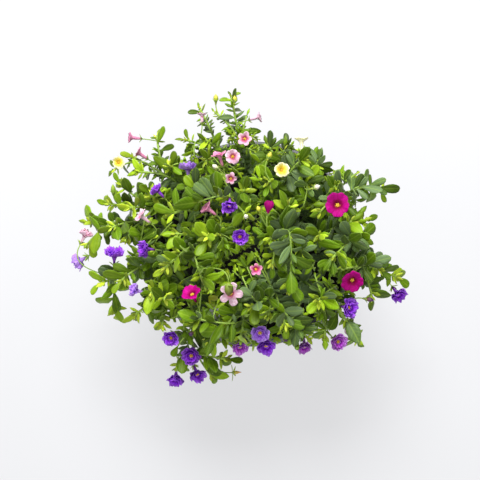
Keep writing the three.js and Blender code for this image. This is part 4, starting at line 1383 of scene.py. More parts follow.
@dataclass(frozen=True)
class BudTissue(Surface):
    """Closed bud, seed capsule or spent bloom: green at its foot, with its own colour at its tip."""

    tones: tuple[str, ...] = ()

    def coats(self, tree: Tree, place: Socket) -> Inputs:
        """Gives the colours along the bud."""
        along = add_node(tree, "Attribute", {}, "Fac", attribute_name="along")
        patches = add_node(tree, "TexNoise", {"Vector": place, "Scale": 1 / (2 * MM)})
        moved = add_node(tree, "Math", {0: patches, 1: 0.2, 2: along}, operation="MULTIPLY_ADD")
        stops = tuple(zip((0.15, 0.55, 0.95), self.tones))
        return {"Base Color": add_node(tree, "ValToRGB", {"Fac": moved}, stops=stops)}


@dataclass(frozen=True)
class Pollen(Surface):
    """Pollen-dusted anther and stigma: dull yellow, a little browner where the dust is thin."""

    light: str = "#FFDC50"
    dark: str = "#D8A428"

    def coats(self, tree: Tree, place: Socket) -> Inputs:
        """Gives the patchy yellow."""
        patches = add_node(tree, "TexNoise", {"Vector": place, "Scale": 1 / (0.8 * MM)})
        stops = ((0.35, self.dark), (0.6, self.light))
        return {"Base Color": add_node(tree, "ValToRGB", {"Fac": patches}, stops=stops)}


@dataclass(frozen=True)
class MouldedPlastic(Surface):
    """Injection-moulded polypropylene: one satin colour with faint flow marks, and a film of settled dust."""

    colour: str = "#24252D"
    worn: str = "#33343C"
    dust: str = "#6A655C"
    dusty: float = 0.12

    def coats(self, tree: Tree, place: Socket) -> Inputs:
        """Gives the plastic's colour and gloss, and the dust."""
        broad = {"Vector": place, "Scale": 1 / (26 * MM), "Detail": 5, "Roughness": 0.6}
        flow = add_node(tree, "TexNoise", broad)
        base = add_node(tree, "ValToRGB", {"Fac": flow}, stops=((0.35, self.colour), (0.7, self.worn)))
        specks = {"Vector": place, "Scale": 1 / (3.5 * MM), "Detail": 8, "Roughness": 0.75}
        grime = add_node(tree, "TexNoise", specks)
        settled = {"Value": grime, "From Min": 0.5, "From Max": 0.75, "To Max": self.dusty}
        dusted = {0: add_node(tree, "MapRange", settled), 6: base, 7: linear(self.dust)}
        gloss = {"To Min": self.roughness - 0.06, "To Max": self.roughness + 0.08}
        dull = add_node(tree, "MapRange", {"Value": flow, "From Min": 0.3, "From Max": 0.7, **gloss})
        return {"Base Color": add_node(tree, "Mix", dusted, 2, data_type="RGBA"), "Roughness": dull}


@dataclass(frozen=True)
class MoistPeat(Surface):
    """Moist peat: dark brown fibre and crumbs, with grains of white perlite among them; its browns are
    darkened further as painted shade under the leaves.
    """

    wet_with_painted_shade: str = "#070503"
    dry_with_painted_shade: str = "#17100B"
    perlite: str = "#CFC9BE"

    def coats(self, tree: Tree, place: Socket) -> Inputs:
        """Gives the fibre's browns, darkened as painted shade, and white where a crumb is perlite."""
        tone = add_node(tree, "Attribute", {}, "Fac", attribute_name="tone")
        strands = {"Vector": place, "Scale": 1 / (4 * MM), "Detail": 6, "Roughness": 0.7}
        fibre = add_node(tree, "TexNoise", strands)
        # Near-black browns: moist peat's own colour, darkened further as painted shade under the leaves.
        peat = add_node(tree, "ValToRGB", {"Fac": fibre}, stops=((0.35, self.wet_with_painted_shade), (0.72, self.dry_with_painted_shade)))
        white = add_node(tree, "Math", {0: tone, 1: 0.9}, operation="GREATER_THAN")
        mixed = {0: white, 6: peat, 7: linear(self.perlite)}
        return {"Base Color": add_node(tree, "Mix", mixed, 2, data_type="RGBA")}


@dataclass(frozen=True)
class LabelPlastic(Surface):
    """Stiff white label plastic, with one printed band across its head and smears of peat at its foot."""

    white: str = "#E9EBEF"
    band: str = "#C9D12A"
    smear: str = "#6B5A48"

    def coats(self, tree: Tree, place: Socket) -> Inputs:
        """Gives the white, the band and the smears."""
        along = add_node(tree, "Attribute", {}, "Fac", attribute_name="along")
        stops = ((0.0, self.white), (0.7, self.white), (0.705, self.band), (1.0, self.band))
        printed = add_node(tree, "ValToRGB", {"Fac": along}, stops=stops)
        blotches = {"Vector": place, "Scale": 1 / (6 * MM), "Detail": 6, "Roughness": 0.7}
        patches = add_node(tree, "TexNoise", blotches)
        low = add_node(tree, "Math", {0: along, 1: -1.6, 2: patches}, operation="MULTIPLY_ADD")
        soiled = add_node(tree, "MapRange", {"Value": low, "From Max": 0.4, "To Max": 0.6})
        mixed = {0: soiled, 6: printed, 7: linear(self.smear)}
        return {"Base Color": add_node(tree, "Mix", mixed, 2, data_type="RGBA")}


@dataclass(frozen=True)
class PaintedGlowFloor(Surface):
    """A pale matt floor, made pale by a painted glow: it emits light that lightens the plant's shadow, a
    little more towards the back as painted light falloff.
    """

    # A dark grey, so that the painted glow sets most of the floor's brightness and its shadow stays light.
    shades: tuple[str, str] = ("#6B6C6E", "#6F7072")
    painted_glow_colour: str = "#FDFDFF"

    def coats(self, tree: Tree, place: Socket) -> Inputs:
        """Gives the floor's even grey and its painted glow."""
        mottled = add_node(tree, "TexNoise", {"Vector": place, "Scale": 2})
        depth = add_node(tree, "SeparateXYZ", {"Vector": place}, "Y")
        # Painted glow, brighter towards the back: painted light falloff, and light that lightens the shadow
        # under the plant.
        painted_glow = {"Value": depth, "From Min": -0.3, "From Max": 0.3, "To Min": 0.6, "To Max": 0.74}
        stops = tuple(zip((0.3, 0.7), self.shades))
        return {
            "Base Color": add_node(tree, "ValToRGB", {"Fac": mottled}, stops=stops),
            "Emission Color": linear(self.painted_glow_colour),
            "Emission Strength": add_node(tree, "MapRange", painted_glow),
        }


# Each family's petals: the throat, the ring round it, the blade, its edge, its back and its streaks.
PETALS: dict[Kind, Petal] = {
    kind: Petal("petal_" + kind.value, 0.6, tones=tones)
    for kind, tones in {
        Kind.MAGENTA: ("#E09A1C", "#7A0034", "#B4007C", "#C0008C", "#A0066E", "#80004C"),
        Kind.PALE_PINK: ("#C8702A", "#A83452", "#E2B6C8", "#EEDAE4", "#E4CAD8", "#CA80A0"),
        Kind.PINK: ("#D08A3A", "#9C1E46", "#D280A6", "#E6AEC6", "#D898B6", "#B04474"),
        Kind.VIOLET: ("#E0AA28", "#2E0650", "#8E2ED4", "#C482FA", "#A058DC", "#560C98"),
        Kind.LILAC: ("#DDB23C", "#5A2A8E", "#AA74E0", "#CEACF4", "#BC9AE0", "#7434B4"),
        Kind.PURPLE: ("#D8A634", "#4A0A58", "#B846CC", "#DEA2EE", "#BC8CDC", "#70168C"),
    }.items()
}
CREAM_TONES = ("#E4B800", "#E6C408", "#EDE484", "#F4F1E2", "#F2EFD6", "#E8DA74")
PETALS[Kind.CREAM] = Petal("petal_cream", 0.6, tones=CREAM_TONES, ring_to=0.5, mottle=0.15)

# Each look's foot, middle and tip.
BUDS_AND_FRUIT: dict[BudLook, BudTissue] = {
    BudLook.GREEN: BudTissue("bud_green", 0.5, tones=("#6F8F22", "#85A62A", "#9DB93A")),
    BudLook.YELLOW: BudTissue("bud_yellow", 0.5, tones=("#9DB52C", "#C8CF3C", "#E2D84E")),
    BudLook.PURPLE_TIP: BudTissue("bud_purple_tip", 0.5, tones=("#8FA030", "#7A5A58", "#3E1450")),
    BudLook.PALE_TIP: BudTissue("bud_pale_tip", 0.5, tones=("#B4C24A", "#E4E2B0", "#F3EFE2")),
    BudLook.STAR: BudTissue("bud_star", 0.5, tones=("#9CB43A", "#CDBB48", "#D8924A")),
    BudLook.CAPSULE: BudTissue("seed_capsule", 0.5, tones=("#8A9C34", "#6C7F22", "#665C26")),
    BudLook.WITHERED: BudTissue("bloom_withered", 0.6, tones=("#A9B25A", "#E6CFDA", "#C79AB4")),
}


# ------------------------------------------------------------------ the patterns that are copied

# Blade outlines: pairs of a share of the length and a share of the half width.
OBOVATE = tuple(zip((0, 0.12, 0.3, 0.5, 0.68, 0.84, 0.95, 1), (0.1, 0.22, 0.52, 0.86, 1, 0.92, 0.58, 0)))
ELLIPTIC = tuple(zip((0, 0.12, 0.28, 0.46, 0.64, 0.8, 0.93, 1), (0.1, 0.34, 0.76, 1, 1, 0.78, 0.42, 0)))
SLENDER = tuple(zip((0, 0.25, 0.55, 0.82, 1), (0.14, 0.6, 1, 0.6, 0)))

LEAF_FINISH, STEM_FINISH = 0, 1
STEM_RINGS, BUD_RINGS, COROLLA_RINGS = 13, 9, 14

# The length under which a leaf is slender, how much slimmer than its solid a stem is drawn, and how far it
# swells where a leaf grows.
SLENDER_UNDER = 14.0
STEM_SLIMNESS = 0.66
NODE_SWELLING = 0.35

# Each look's greatest radius and the radii along it, then the reach and spread of those calyces that differ.
BUD_FORMS: dict[BudLook, tuple[float, tuple[float, ...]]] = {
    BudLook.WITHERED: (1.0, (0.9, 1.3, 1.5, 1.7, 2.3, 2.9, 3.0, 2.2, 0.4)),
    BudLook.GREEN: (2.4, (0.4, 0.66, 0.86, 0.98, 1.0, 0.92, 0.72, 0.4, 0.06)),
    BudLook.CAPSULE: (4.3, (0.36, 0.68, 0.88, 0.98, 1.0, 0.94, 0.8, 0.54, 0.1)),
    BudLook.STAR: (2.4, (0.4, 0.6, 0.7, 0.72, 0.66, 0.5, 0.3, 0.16, 0.05)),
}
PETAL_BUD_FORM = (2.3, (0.4, 0.5, 0.56, 0.66, 0.86, 1.0, 0.9, 0.5, 0.05))
OWN_CALYX = {BudLook.STAR: (8.0, 72), BudLook.CAPSULE: (7.0, 56)}

# Each form's rings, up the corolla's back to its edge and down into its throat: their radii as shares of the
# bloom's, and their heights as shares of the tube's length and of the limb's rise.
PROFILES: dict[Form, tuple[tuple[float, ...], ...]] = {
    Form.RUFFLED: (
        (0, 0, 0.24, 0.36, 0.64, 0.88, 1, 0.985, 0.86, 0.66, 0.45, 0.27, 0, 0),
        (0, 0.4, 0.72, 0.88, 0.97, 1, 1, 1, 1, 0.98, 0.87, 0.75, 0.5, 0.35),
        (0, 0, 0, 0, 0.05, 0.4, 0.8, 0.8, 0.4, 0.1, 0, 0, 0, 0),
    ),
    Form.TRUMPET: (
        (0, 0, 0.16, 0.26, 0.5, 0.82, 1, 0.985, 0.8, 0.5, 0.3, 0.2, 0, 0),
        (0, 0.3, 0.6, 0.84, 1, 1, 1, 1, 1, 1, 0.9, 0.75, 0.5, 0.35),
        (0, 0, 0, 0, 0.2, 0.7, 1, 1, 0.7, 0.25, 0, 0, 0, 0),
    ),
    Form.FOLDED: (
        (0, 0.15, 0.28, 0.5, 0.72, 0.76, 0.4, 0.37, 0.66, 0.6, 0.4, 0.3, 0, 0),
        (0, 0.15, 0.3, 0.5, 0.75, 1, 1, 1, 0.97, 0.75, 0.55, 0.45, 0.4, 0.35),
        (0, 0, 0, 0, 0, 0.3, 1, 1, 0.3, 0, 0, 0, 0, 0),
    ),
}
OPEN_PROFILE = (
    (0, 0, 0, 0.32, 0.6, 0.86, 1, 0.985, 0.84, 0.62, 0.4, 0.26, 0, 0),
    (0, 0.35, 0.85, 1, 1, 1, 1, 1, 1, 1, 1, 1, 0.8, 0.5),
    (0, 0, 0, 0.2, 0.6, 0.88, 1, 1, 0.92, 0.68, 0.42, 0.16, 0, 0),
)


@dataclass
class Patterns:
    """The patterns that are modelled once and copied."""

    obovate: Shape
    elliptic: Shape
    slender: Shape
    stem: Shape
    bud: Shape
    corolla: Shape
    grain: Shape

    @classmethod
    def model(cls) -> "Patterns":
        """Models each pattern."""
        return cls(
            obovate=model_blade(OBOVATE, 4, 0.4),
            elliptic=model_blade(ELLIPTIC, 4, 0.4),
            slender=model_blade(SLENDER, 2, 0.35),
            stem=model_sleeve(7, STEM_RINGS),
            bud=model_sleeve(10, BUD_RINGS),
            corolla=model_sleeve(50, COROLLA_RINGS),
            grain=model_grain(1, 0.8),
        )


def drawn_over(
    shape: Shape, frames: list[Frame], origins: np.ndarray, radii: np.ndarray
) -> tuple[np.ndarray, np.ndarray]:
    """Draws a sleeve over a path.

    Args:
        shape: The sleeve.
        frames: The frame of each ring, for its ways.
        origins: The middle of each ring.
        radii: The radius of each ring.

    Returns:
        The sleeve's points, and the ring that each point is on.
    """
    x, y, z = shape.points.T
    ring = np.rint(z).astype(int)
    sides = np.array([frame.side for frame in frames])[ring]
    raiseds = np.array([frame.raised for frame in frames])[ring]
    return origins[ring] + radii[ring, None] * (x[:, None] * sides + y[:, None] * raiseds), ring


# ------------------------------------------------------------------ foliage


@dataclass
class Foliage:
    """One leafy spray: its stems, leaves, calyces and buds."""

    spray: Spray
    patterns: Patterns
    draws: Draws

    def build(self, finishes: dict[str, Material], inside: Box) -> Object:
        """Builds the spray as one piece.

        Args:
            finishes: The materials by name.
            inside: The box that it stays within.

        Returns:
            The object.
        """
        batch = Batch("age", "tone", "under", "along")
        used = [finishes["leaf"], finishes["stem"]]
        for stem in (*self.spray.stems, *self.spray.pedicels, *self.spray.twigs):
            self.add_stem(batch, stem)
        for leaf in self.spray.leaves:
            self.add_leaf(batch, leaf)
        for stem in (*self.spray.stems, *self.spray.pedicels):
            if stem.calyx:
                self.add_calyx(batch, stem.frame_at(1.0), stem.calyx * 1.25, 40)
            if stem.bud:
                length, look = stem.bud
                material = finishes[look.value]
                if material not in used:
                    used.append(material)
                self.add_bud(batch, stem.frame_at(1.0), length, look, used.index(material))
        return batch.build("foliage_" + self.spray.name, used, inside)

    def add_stem(self, batch: Batch, stem: Stem) -> None:
        """Adds a stem: a tapered tube, a little swollen where each leaf grows out of it."""
        shares = np.linspace(0, 1, STEM_RINGS)
        frames = [stem.frame_at(share) for share in shares]
        origins = np.array([frame.origin for frame in frames])
        if stem.foot is not None:
            origins[0] = stem.foot
        elif stem.calyx:
            origins[-1] += frames[-1].axis * CALYX_GAP
        radii = stem.radius + (min(stem.radius, TIP_RADIUS) - stem.radius) * shares
        for _, share in stem.leaves:
            radii += NODE_SWELLING * np.exp(-(((shares - share) * stem.length / 2.5) ** 2))
        radii = STEM_SLIMNESS * np.minimum(radii, stem.radius * 1.25 + 0.3)
        points, ring = drawn_over(self.patterns.stem, frames, origins, radii)
        age = np.clip((1 - shares) * stem.length / 110, 0, 1)
        batch.add(self.patterns.stem, points, STEM_FINISH, age=age[ring], tone=0.5)

    @staticmethod
    def add_blade(
        batch: Batch, shape: Shape, root: np.ndarray, ways: tuple, offsets: tuple, age: float, tone: float
    ) -> None:
        """Adds a blade.

        Args:
            batch: What it is added to.
            shape: The pattern that it is bent from.
            root: Where it grows.
            ways: The ways that it runs, spreads and faces.
            offsets: How far each of its points lies along each way.
            age: Its age.
            tone: Its brightness.
        """
        x, y, z = shape.points.T
        points = root
        for offset, way in zip(offsets, ways):
            points = points + np.outer(offset, way)
        places = np.stack([0.5 + 0.5 * x, y], axis=1)
        batch.add(shape, points, LEAF_FINISH, places, age=age, tone=tone, under=(z < 0).astype(float))

    def add_leaf(self, batch: Batch, leaf: Leaf) -> None:
        """Adds a leaf: folded along its midrib, arched, and a little twisted and waved."""
        if leaf.length < SLENDER_UNDER:
            shape = self.patterns.slender
        elif self.draws.next() < 0.6:
            shape = self.patterns.obovate
        else:
            shape = self.patterns.elliptic
        length = leaf.length
        raised = 0.6 + 0.4 * smoothstep(leaf.root[2], LOW_LEVEL, HIGH_LEVEL)
        half = 0.5 * leaf.width * (0.96 - 0.3 * smoothstep(leaf.root[1], 10, 90) * raised)
        x, y, z = shape.points.T
        fold = self.draws.between(0.1, 0.5)
        roll = self.draws.between(0.1, 0.5)
        arch = leaf.arch + self.draws.between(0.0, 0.12)
        twist = self.draws.between(-0.6, 0.6)
        bow = self.draws.between(-0.08, 0.08)
        wave = self.draws.between(0.0, 0.09)
        phase = TAU * self.draws.next()
        aside = x * half
        over = z + half * (fold * np.abs(x) - roll * x * x)
        over += half * wave * np.abs(x) * np.sin(2.2 * TAU * y + phase + np.sign(x))
        angle = twist * y
        turned = aside * np.cos(angle) - over * np.sin(angle) + bow * length * y * y
        lifted = aside * np.sin(angle) + over * np.cos(angle) - arch * length * y * y
        ways, offsets = (leaf.run, leaf.side, leaf.face), (y * length, turned, lifted)
        self.add_blade(batch, shape, leaf.root, ways, offsets, leaf.age, leaf.tone)

    def add_calyx(self, batch: Batch, frame: Frame, reach: float, spread: float) -> None:
        """Adds five narrow sepals round an axis.

        Args:
            batch: What they are added to.
            frame: The frame at their foot.
            reach: Their length.
            spread: How far they open, in degrees.
        """
        shape = self.patterns.slender
        x, y, z = shape.points.T
        start = TAU * self.draws.next()
        for index in range(5):
            outward = frame.outward(start + index * TAU / 5)
            pitch = math.radians(spread * self.draws.between(0.85, 1.15))
            run = frame.axis * math.cos(pitch) + outward * math.sin(pitch)
            face = frame.axis * math.sin(pitch) - outward * math.cos(pitch)
            length = reach * self.draws.between(1.1, 1.3)
            half = 0.17 * length
            over = z * 0.8 + 0.25 * half * np.abs(x) - 0.18 * length * y * y
            ways, offsets = (run, np.cross(face, run), face), (y * length, x * half, over)
            self.add_blade(batch, shape, frame.origin, ways, offsets, self.draws.between(0.08, 0.3), 0.6)

    def add_bud(self, batch: Batch, frame: Frame, length: float, look: BudLook, finish: int) -> None:
        """Adds a bud, or a spent bloom, with the calyx that it stands in."""
        shares = np.linspace(0, 1, BUD_RINGS)
        widest, form = BUD_FORMS.get(look, PETAL_BUD_FORM)
        radii = widest * np.array(form) * min(1.0, length / 9)
        origins = frame.origin + np.outer(shares * length, frame.axis)
        points, ring = drawn_over(self.patterns.bud, [frame] * BUD_RINGS, origins, radii)
        x, y, _ = self.patterns.bud.points.T
        turn = np.arctan2(y, x)
        crease = 0.14 * np.cos(5 * turn + 2.2 * shares[ring])
        if look is BudLook.WITHERED:
            crease = 0.3 * np.cos(5 * turn + 4 * shares[ring]) + 0.12 * np.sin(11 * turn)
        points += (points - origins[ring]) * crease[:, None]
        batch.add(self.patterns.bud, points, finish, along=shares[ring], tone=0.5)
        if length > 6:
            reach, spread = OWN_CALYX.get(look, (min(6.0, 0.55 * length), 24))
            self.add_calyx(batch, frame, reach, spread)


# ------------------------------------------------------------------ blooms


@dataclass
class Corolla:
    """One open bloom: a narrow tube that flares into five lobes, with its anthers and stigma."""

    bloom: Bloom
    patterns: Patterns
    draws: Draws

    def build(self, finishes: dict[str, Material], inside: Box) -> Object:
        """Builds the bloom as one piece.

        Args:
            finishes: The materials by name.
            inside: The box that it stays within.

        Returns:
            The object.
        """
        batch = Batch("reach", "lobe", "under", "tone")
        frame = Frame(self.bloom.foot, self.bloom.axis)
        tone = self.draws.between(0.3, 0.7)
        self.add_limb(batch, frame, 1.0, 0.0, 0.0, tone)
        # Each inner corolla is painted brighter than the one under it: painted light on the upper ruffles,
        # painted shade on the lower.
        if self.bloom.form is Form.RUFFLED:
            self.add_limb(batch, frame, 0.84, 0.1 * self.bloom.radius, TAU / 10, tone + 0.15)
            self.add_limb(batch, frame, 0.6, 0.22 * self.bloom.radius, TAU / 20, tone + 0.3)
        self.add_anthers(batch, frame)
        used = [finishes[self.bloom.kind.value], finishes["pollen"]]
        return batch.build("corolla_" + self.bloom.name, used, inside)

    def profile(self, share: float) -> tuple[np.ndarray, np.ndarray]:
        """Gives the radii and heights of a corolla's rings, up its back to its edge and down into its throat.

        Args:
            share: Its breadth, as a share of the bloom's; the inner corollas begin inside the throat.

        Returns:
            The radii and the heights.
        """
        flat_open = self.bloom.kind is Kind.MAGENTA and self.bloom.form is Form.OPEN
        radius = self.bloom.radius * share * (0.9 if flat_open else 1.0)
        tube = self.bloom.tube
        radii, tubes, rises = np.array(PROFILES.get(self.bloom.form, OPEN_PROFILE), float)
        heights = tubes * tube + rises * self.bloom.rise
        heights[7:12] += 0.35
        narrow = np.array([1.0, 1.4, 1.8, 0, 0, 0, 0, 0, 0, 0, 0, 1.5, 1.2, 0.8])
        if share < 1:
            narrow *= 0.5
            heights[:3] = np.array([0.45, 0.52, 0.62]) * tube
            heights[12:] = np.array([0.6, 0.55]) * tube
        return np.maximum(radii * radius, narrow), heights

    def add_limb(
        self, batch: Batch, frame: Frame, share: float, lift: float, turn: float, tone: float
    ) -> None:
        """Adds a corolla.

        Args:
            batch: What it is added to.
            frame: The frame at the bloom's foot.
            share: Its breadth, as a share of the bloom's.
            lift: How much higher than the bloom's own limb it lies.
            turn: How far it is turned about the axis.
            tone: Its brightness: a random tone, with painted light added on the inner corollas.
        """
        radii, heights = self.profile(share)
        heights[3:12] += lift
        weight = np.array([0, 0, 0, 0.15, 0.5, 0.85, 1, 1, 0.85, 0.5, 0.2, 0.05, 0, 0])
        reach = np.array([0.5, 0.5, 0.5, 0.6, 0.8, 0.95, 1, 1, 0.88, 0.64, 0.42, 0.27, 0.08, 0.0])
        x, y, z = self.patterns.corolla.points.T
        ring = np.rint(z).astype(int)
        w = weight[ring]
        angle = np.arctan2(y, x)
        around = (angle * 5 / TAU) % 5
        place = np.floor(around).astype(int)
        lobe = np.abs((around - place) * 2 - 1)
        valley = lobe**2
        beside = (place + np.where(around - place < 0.5, -1, 1)) % 5
        span = radii.max()
        scale = min(1.0, span / 8)
        bolds = np.array([self.draws.between(-0.09, 0.06) for _ in range(5)])
        lifts = np.array([self.draws.between(-1, 1) for _ in range(5)])
        place = place % 5
        bold = bolds[place] * (1 - 0.5 * valley) + bolds[beside] * 0.5 * valley
        raised = lifts[place] * (1 - 0.5 * valley) + lifts[beside] * 0.5 * valley
        form = self.bloom.form
        if form is Form.STAR:
            dip = 0.4 * valley
        elif form is Form.PARTED:
            dip = 0.6 * lobe**3
        elif form is Form.RUFFLED:
            dip = 0.08 * valley + 0.06 * np.sin(9 * angle + TAU * self.draws.next())
        else:
            dip = 0.2 * lobe**4 + 0.05 * np.exp(-((lobe / 0.16) ** 2))
        size = radii[ring] * (1 - w * (dip - bold))
        depth = {Form.RUFFLED: 1.45, Form.OPEN: 0.7}.get(form, 0.4) * scale
        height = heights[ring] - 0.6 * w * lobe**4 - 0.35 * w * np.exp(-((lobe / 0.2) ** 2))
        height += 0.8 * depth * w * raised
        for count in (3, 5, 8, 13):
            height += depth / math.sqrt(count / 3) * w * w * np.sin(count * angle + TAU * self.draws.next())
        theta = angle + turn
        level = frame.axis[2]
        lean = UP * 0.45 * (1 - smoothstep(level, 0.1, 0.5)) * smoothstep(level, -0.42, -0.3)
        axis = unit(frame.axis + lean) if form is Form.RUFFLED else frame.axis
        face = Frame(frame.origin + frame.axis * self.bloom.tube, axis)
        limb = face.origin + np.outer(size * np.cos(theta), face.side)
        limb += np.outer(size * np.sin(theta), face.raised)
        limb += np.outer(height - self.bloom.tube, face.axis)
        outward = np.outer(np.cos(theta), frame.side) + np.outer(np.sin(theta), frame.raised)
        points = frame.origin + outward * size[:, None] + np.outer(height, frame.axis)
        points = np.where(((ring > 2) & (ring < 12))[:, None], limb, points)
        stretch = {Form.PARTED: 1.45, Form.STAR: 0.85}.get(form, 0.4 + 0.6 * share)
        # Lobes lifted higher are painted brighter and sunken ones darker: painted light and painted shade.
        batch.add(
            self.patterns.corolla,
            points,
            0,
            reach=np.minimum(1.0, reach[ring] * stretch),
            lobe=lobe,
            under=(ring < 7).astype(float),
            tone=tone + 0.3 * raised,
        )

    def add_anthers(self, batch: Batch, frame: Frame) -> None:
        """Adds five anthers in the throat, round a stigma."""
        size = min(0.85, 0.09 * self.bloom.radius)
        height = self.bloom.tube + 0.15 * self.bloom.rise
        start = TAU * self.draws.next()
        levels = [height - 0.3 + 0.5 * self.draws.next() for _ in range(5)]
        spots = [(start + index * TAU / 5, 1.55 * size, level) for index, level in enumerate(levels)]
        for angle, radius, level in (*spots, (0.0, 0.0, height + 0.5)):
            middle = frame.origin + frame.outward(angle) * radius + frame.axis * level
            points = middle + self.patterns.grain.points * size
            batch.add(self.patterns.grain, points, 1, tone=0.5)


# ------------------------------------------------------------------ pot, peat and label


def turned(name: str, profile: tuple[tuple[float, float], ...], sides: int) -> Object:
    """Turns a profile about the upright axis, ring by ring, closed by its first and last ring's faces.

    Args:
        name: The object's name.
        profile: Pairs of a radius and a height, in millimetres, from the foot round to the inside.
        sides: The number of sides.

    Returns:
        The object, in metres.
    """
    deselect_all()
    radius, height = profile[0]
    foot = (0, 0, height * MM)
    bpy.ops.mesh.primitive_circle_add(vertices=sides, radius=radius * MM, fill_type="NGON", location=foot)
    obj = bpy.context.object
    obj.name = obj.data.name = name
    bpy.ops.object.transform_apply(location=True, rotation=True, scale=True)
    bpy.ops.object.mode_set(mode="EDIT")
    bpy.ops.mesh.select_all(action="SELECT")
    for next_radius, next_height in profile[1:]:
        rise = (next_height - height) * MM
        bpy.ops.mesh.extrude_region_move(TRANSFORM_OT_translate={"value": (0, 0, rise)})
        grow = next_radius / radius
        bpy.ops.transform.resize(value=(grow, grow, 1), center_override=(0, 0, next_height * MM))
        radius, height = next_radius, next_height
    bpy.ops.mesh.select_all(action="SELECT")
    bpy.ops.mesh.normals_make_consistent(inside=False)
    bpy.ops.object.mode_set(mode="OBJECT")
    return obj


@dataclass
class Pot:
    """The tapered pot with its banded rim, a rolled lip and a stacking step near its foot."""

    sides: int = 96

    def build(self, material: Material) -> Object:
        """Builds the pot as one closed wall."""
        inner = inner_radius(BAND_FOOT)
        profile = (
            (FOOT_RADIUS - FOOT_CHAMFER, 0),
            (FOOT_RADIUS - 1.2, 0.5),
            (pot_radius(1.6) - 0.3, 1.6),
            (pot_radius(FOOT_CHAMFER), FOOT_CHAMFER),
            (pot_radius(16), 16),
            (pot_radius(17) - 0.5, 17),
            (pot_radius(60) - 0.1, 60),
            (pot_radius(BAND_FOOT - 1), BAND_FOOT - 1),
            (RIM_RADIUS - 1.6, BAND_FOOT),
            (RIM_RADIUS - 0.5, BAND_FOOT + 0.8),
            (RIM_RADIUS - 0.2, BAND_FOOT + 2),
            (RIM_RADIUS - 0.6, POT_HEIGHT - 6),
            (RIM_RADIUS - 0.1, POT_HEIGHT - 4.4),
            (RIM_RADIUS, POT_HEIGHT - 2),
            (RIM_RADIUS - 0.5, POT_HEIGHT - 0.8),
            (RIM_RADIUS - 1.5, POT_HEIGHT - 0.05),
            (inner + 1.6, POT_HEIGHT),
            (inner + 0.5, POT_HEIGHT - 0.5),
            (inner, POT_HEIGHT - 2),
            (inner, BAND_FOOT),
            (inner_radius(60), 60),
            (inner_radius(POT_WALL), POT_WALL),
        )
        pot = turned("moulded_pot", profile, self.sides)
        pot.data.materials.append(material)
        bpy.ops.object.shade_smooth_by_angle(angle=math.radians(35))
        return pot


@dataclass
class Peat:
    """The peat in the pot: a crumbly surface that rises a little to its middle, with loose crumbs on it."""

    patterns: Patterns
    draws: Draws
    crumbs: int = 420
    perlite: float = 0.07
    rings: int = 26
    sides: int = 110

    def level(self, x: float, y: float) -> float:
        """Gives the surface's height over a place, in millimetres."""
        share = min(1.0, math.hypot(x, y) / 110)
        lumps = noise.fractal(Vector((x / 15, y / 15, 0.3)), 0.8, 2.2, 4)
        return PEAT_LEVEL + PEAT_CROWN * (1 - share**2) - 1.6 + 1.3 * lumps

    def build(self, material: Material, inside: Box) -> Object:
        """Builds the peat with its crumbs as one piece."""
        floor = POT_WALL + SEAT_GAP
        outer = inner_radius(BAND_FOOT) - 1.5 * SEAT_GAP
        edge = ((inner_radius(floor) - 1.5 * SEAT_GAP, floor), (outer, BAND_FOOT), (outer, PEAT_LEVEL - 2))
        rings = tuple((outer * (1 - step / self.rings), PEAT_LEVEL) for step in range(1, self.rings))
        body = Shape.taken_from(turned("peat_body", (*edge, *rings), self.sides))
        points = body.points / MM
        for index, (x, y, z) in enumerate(points):
            if z > PEAT_LEVEL - 1:
                points[index, 2] = min(self.level(x, y), PEAT_LEVEL + PEAT_CROWN)
        batch = Batch("tone")
        batch.add(body, points, 0, tone=0.2)
        for _ in range(self.crumbs):
            radius = (outer - 4) * math.sqrt(self.draws.next())
            turn = TAU * self.draws.next()
            x, y = radius * math.cos(turn), radius * math.sin(turn)
            size = self.draws.between(0.8, 2.6)
            limits = ((0.6, 1.3), (0.6, 1.3), (0.4, 0.8))
            stretch = np.array([self.draws.between(low, high) for low, high in limits])
            spin = TAU * self.draws.next()
            grain = self.patterns.grain.points * stretch * size
            crumb = np.stack(
                [
                    grain[:, 0] * math.cos(spin) - grain[:, 1] * math.sin(spin) + x,
                    grain[:, 0] * math.sin(spin) + grain[:, 1] * math.cos(spin) + y,
                    grain[:, 2] + self.level(x, y) + 0.1 * size,
                ],
                axis=1,
            )
            batch.add(self.patterns.grain, crumb, 0, tone=1.0 if self.draws.next() < self.perlite else 0.2)
        return batch.build("crumbly_peat", [material], inside)


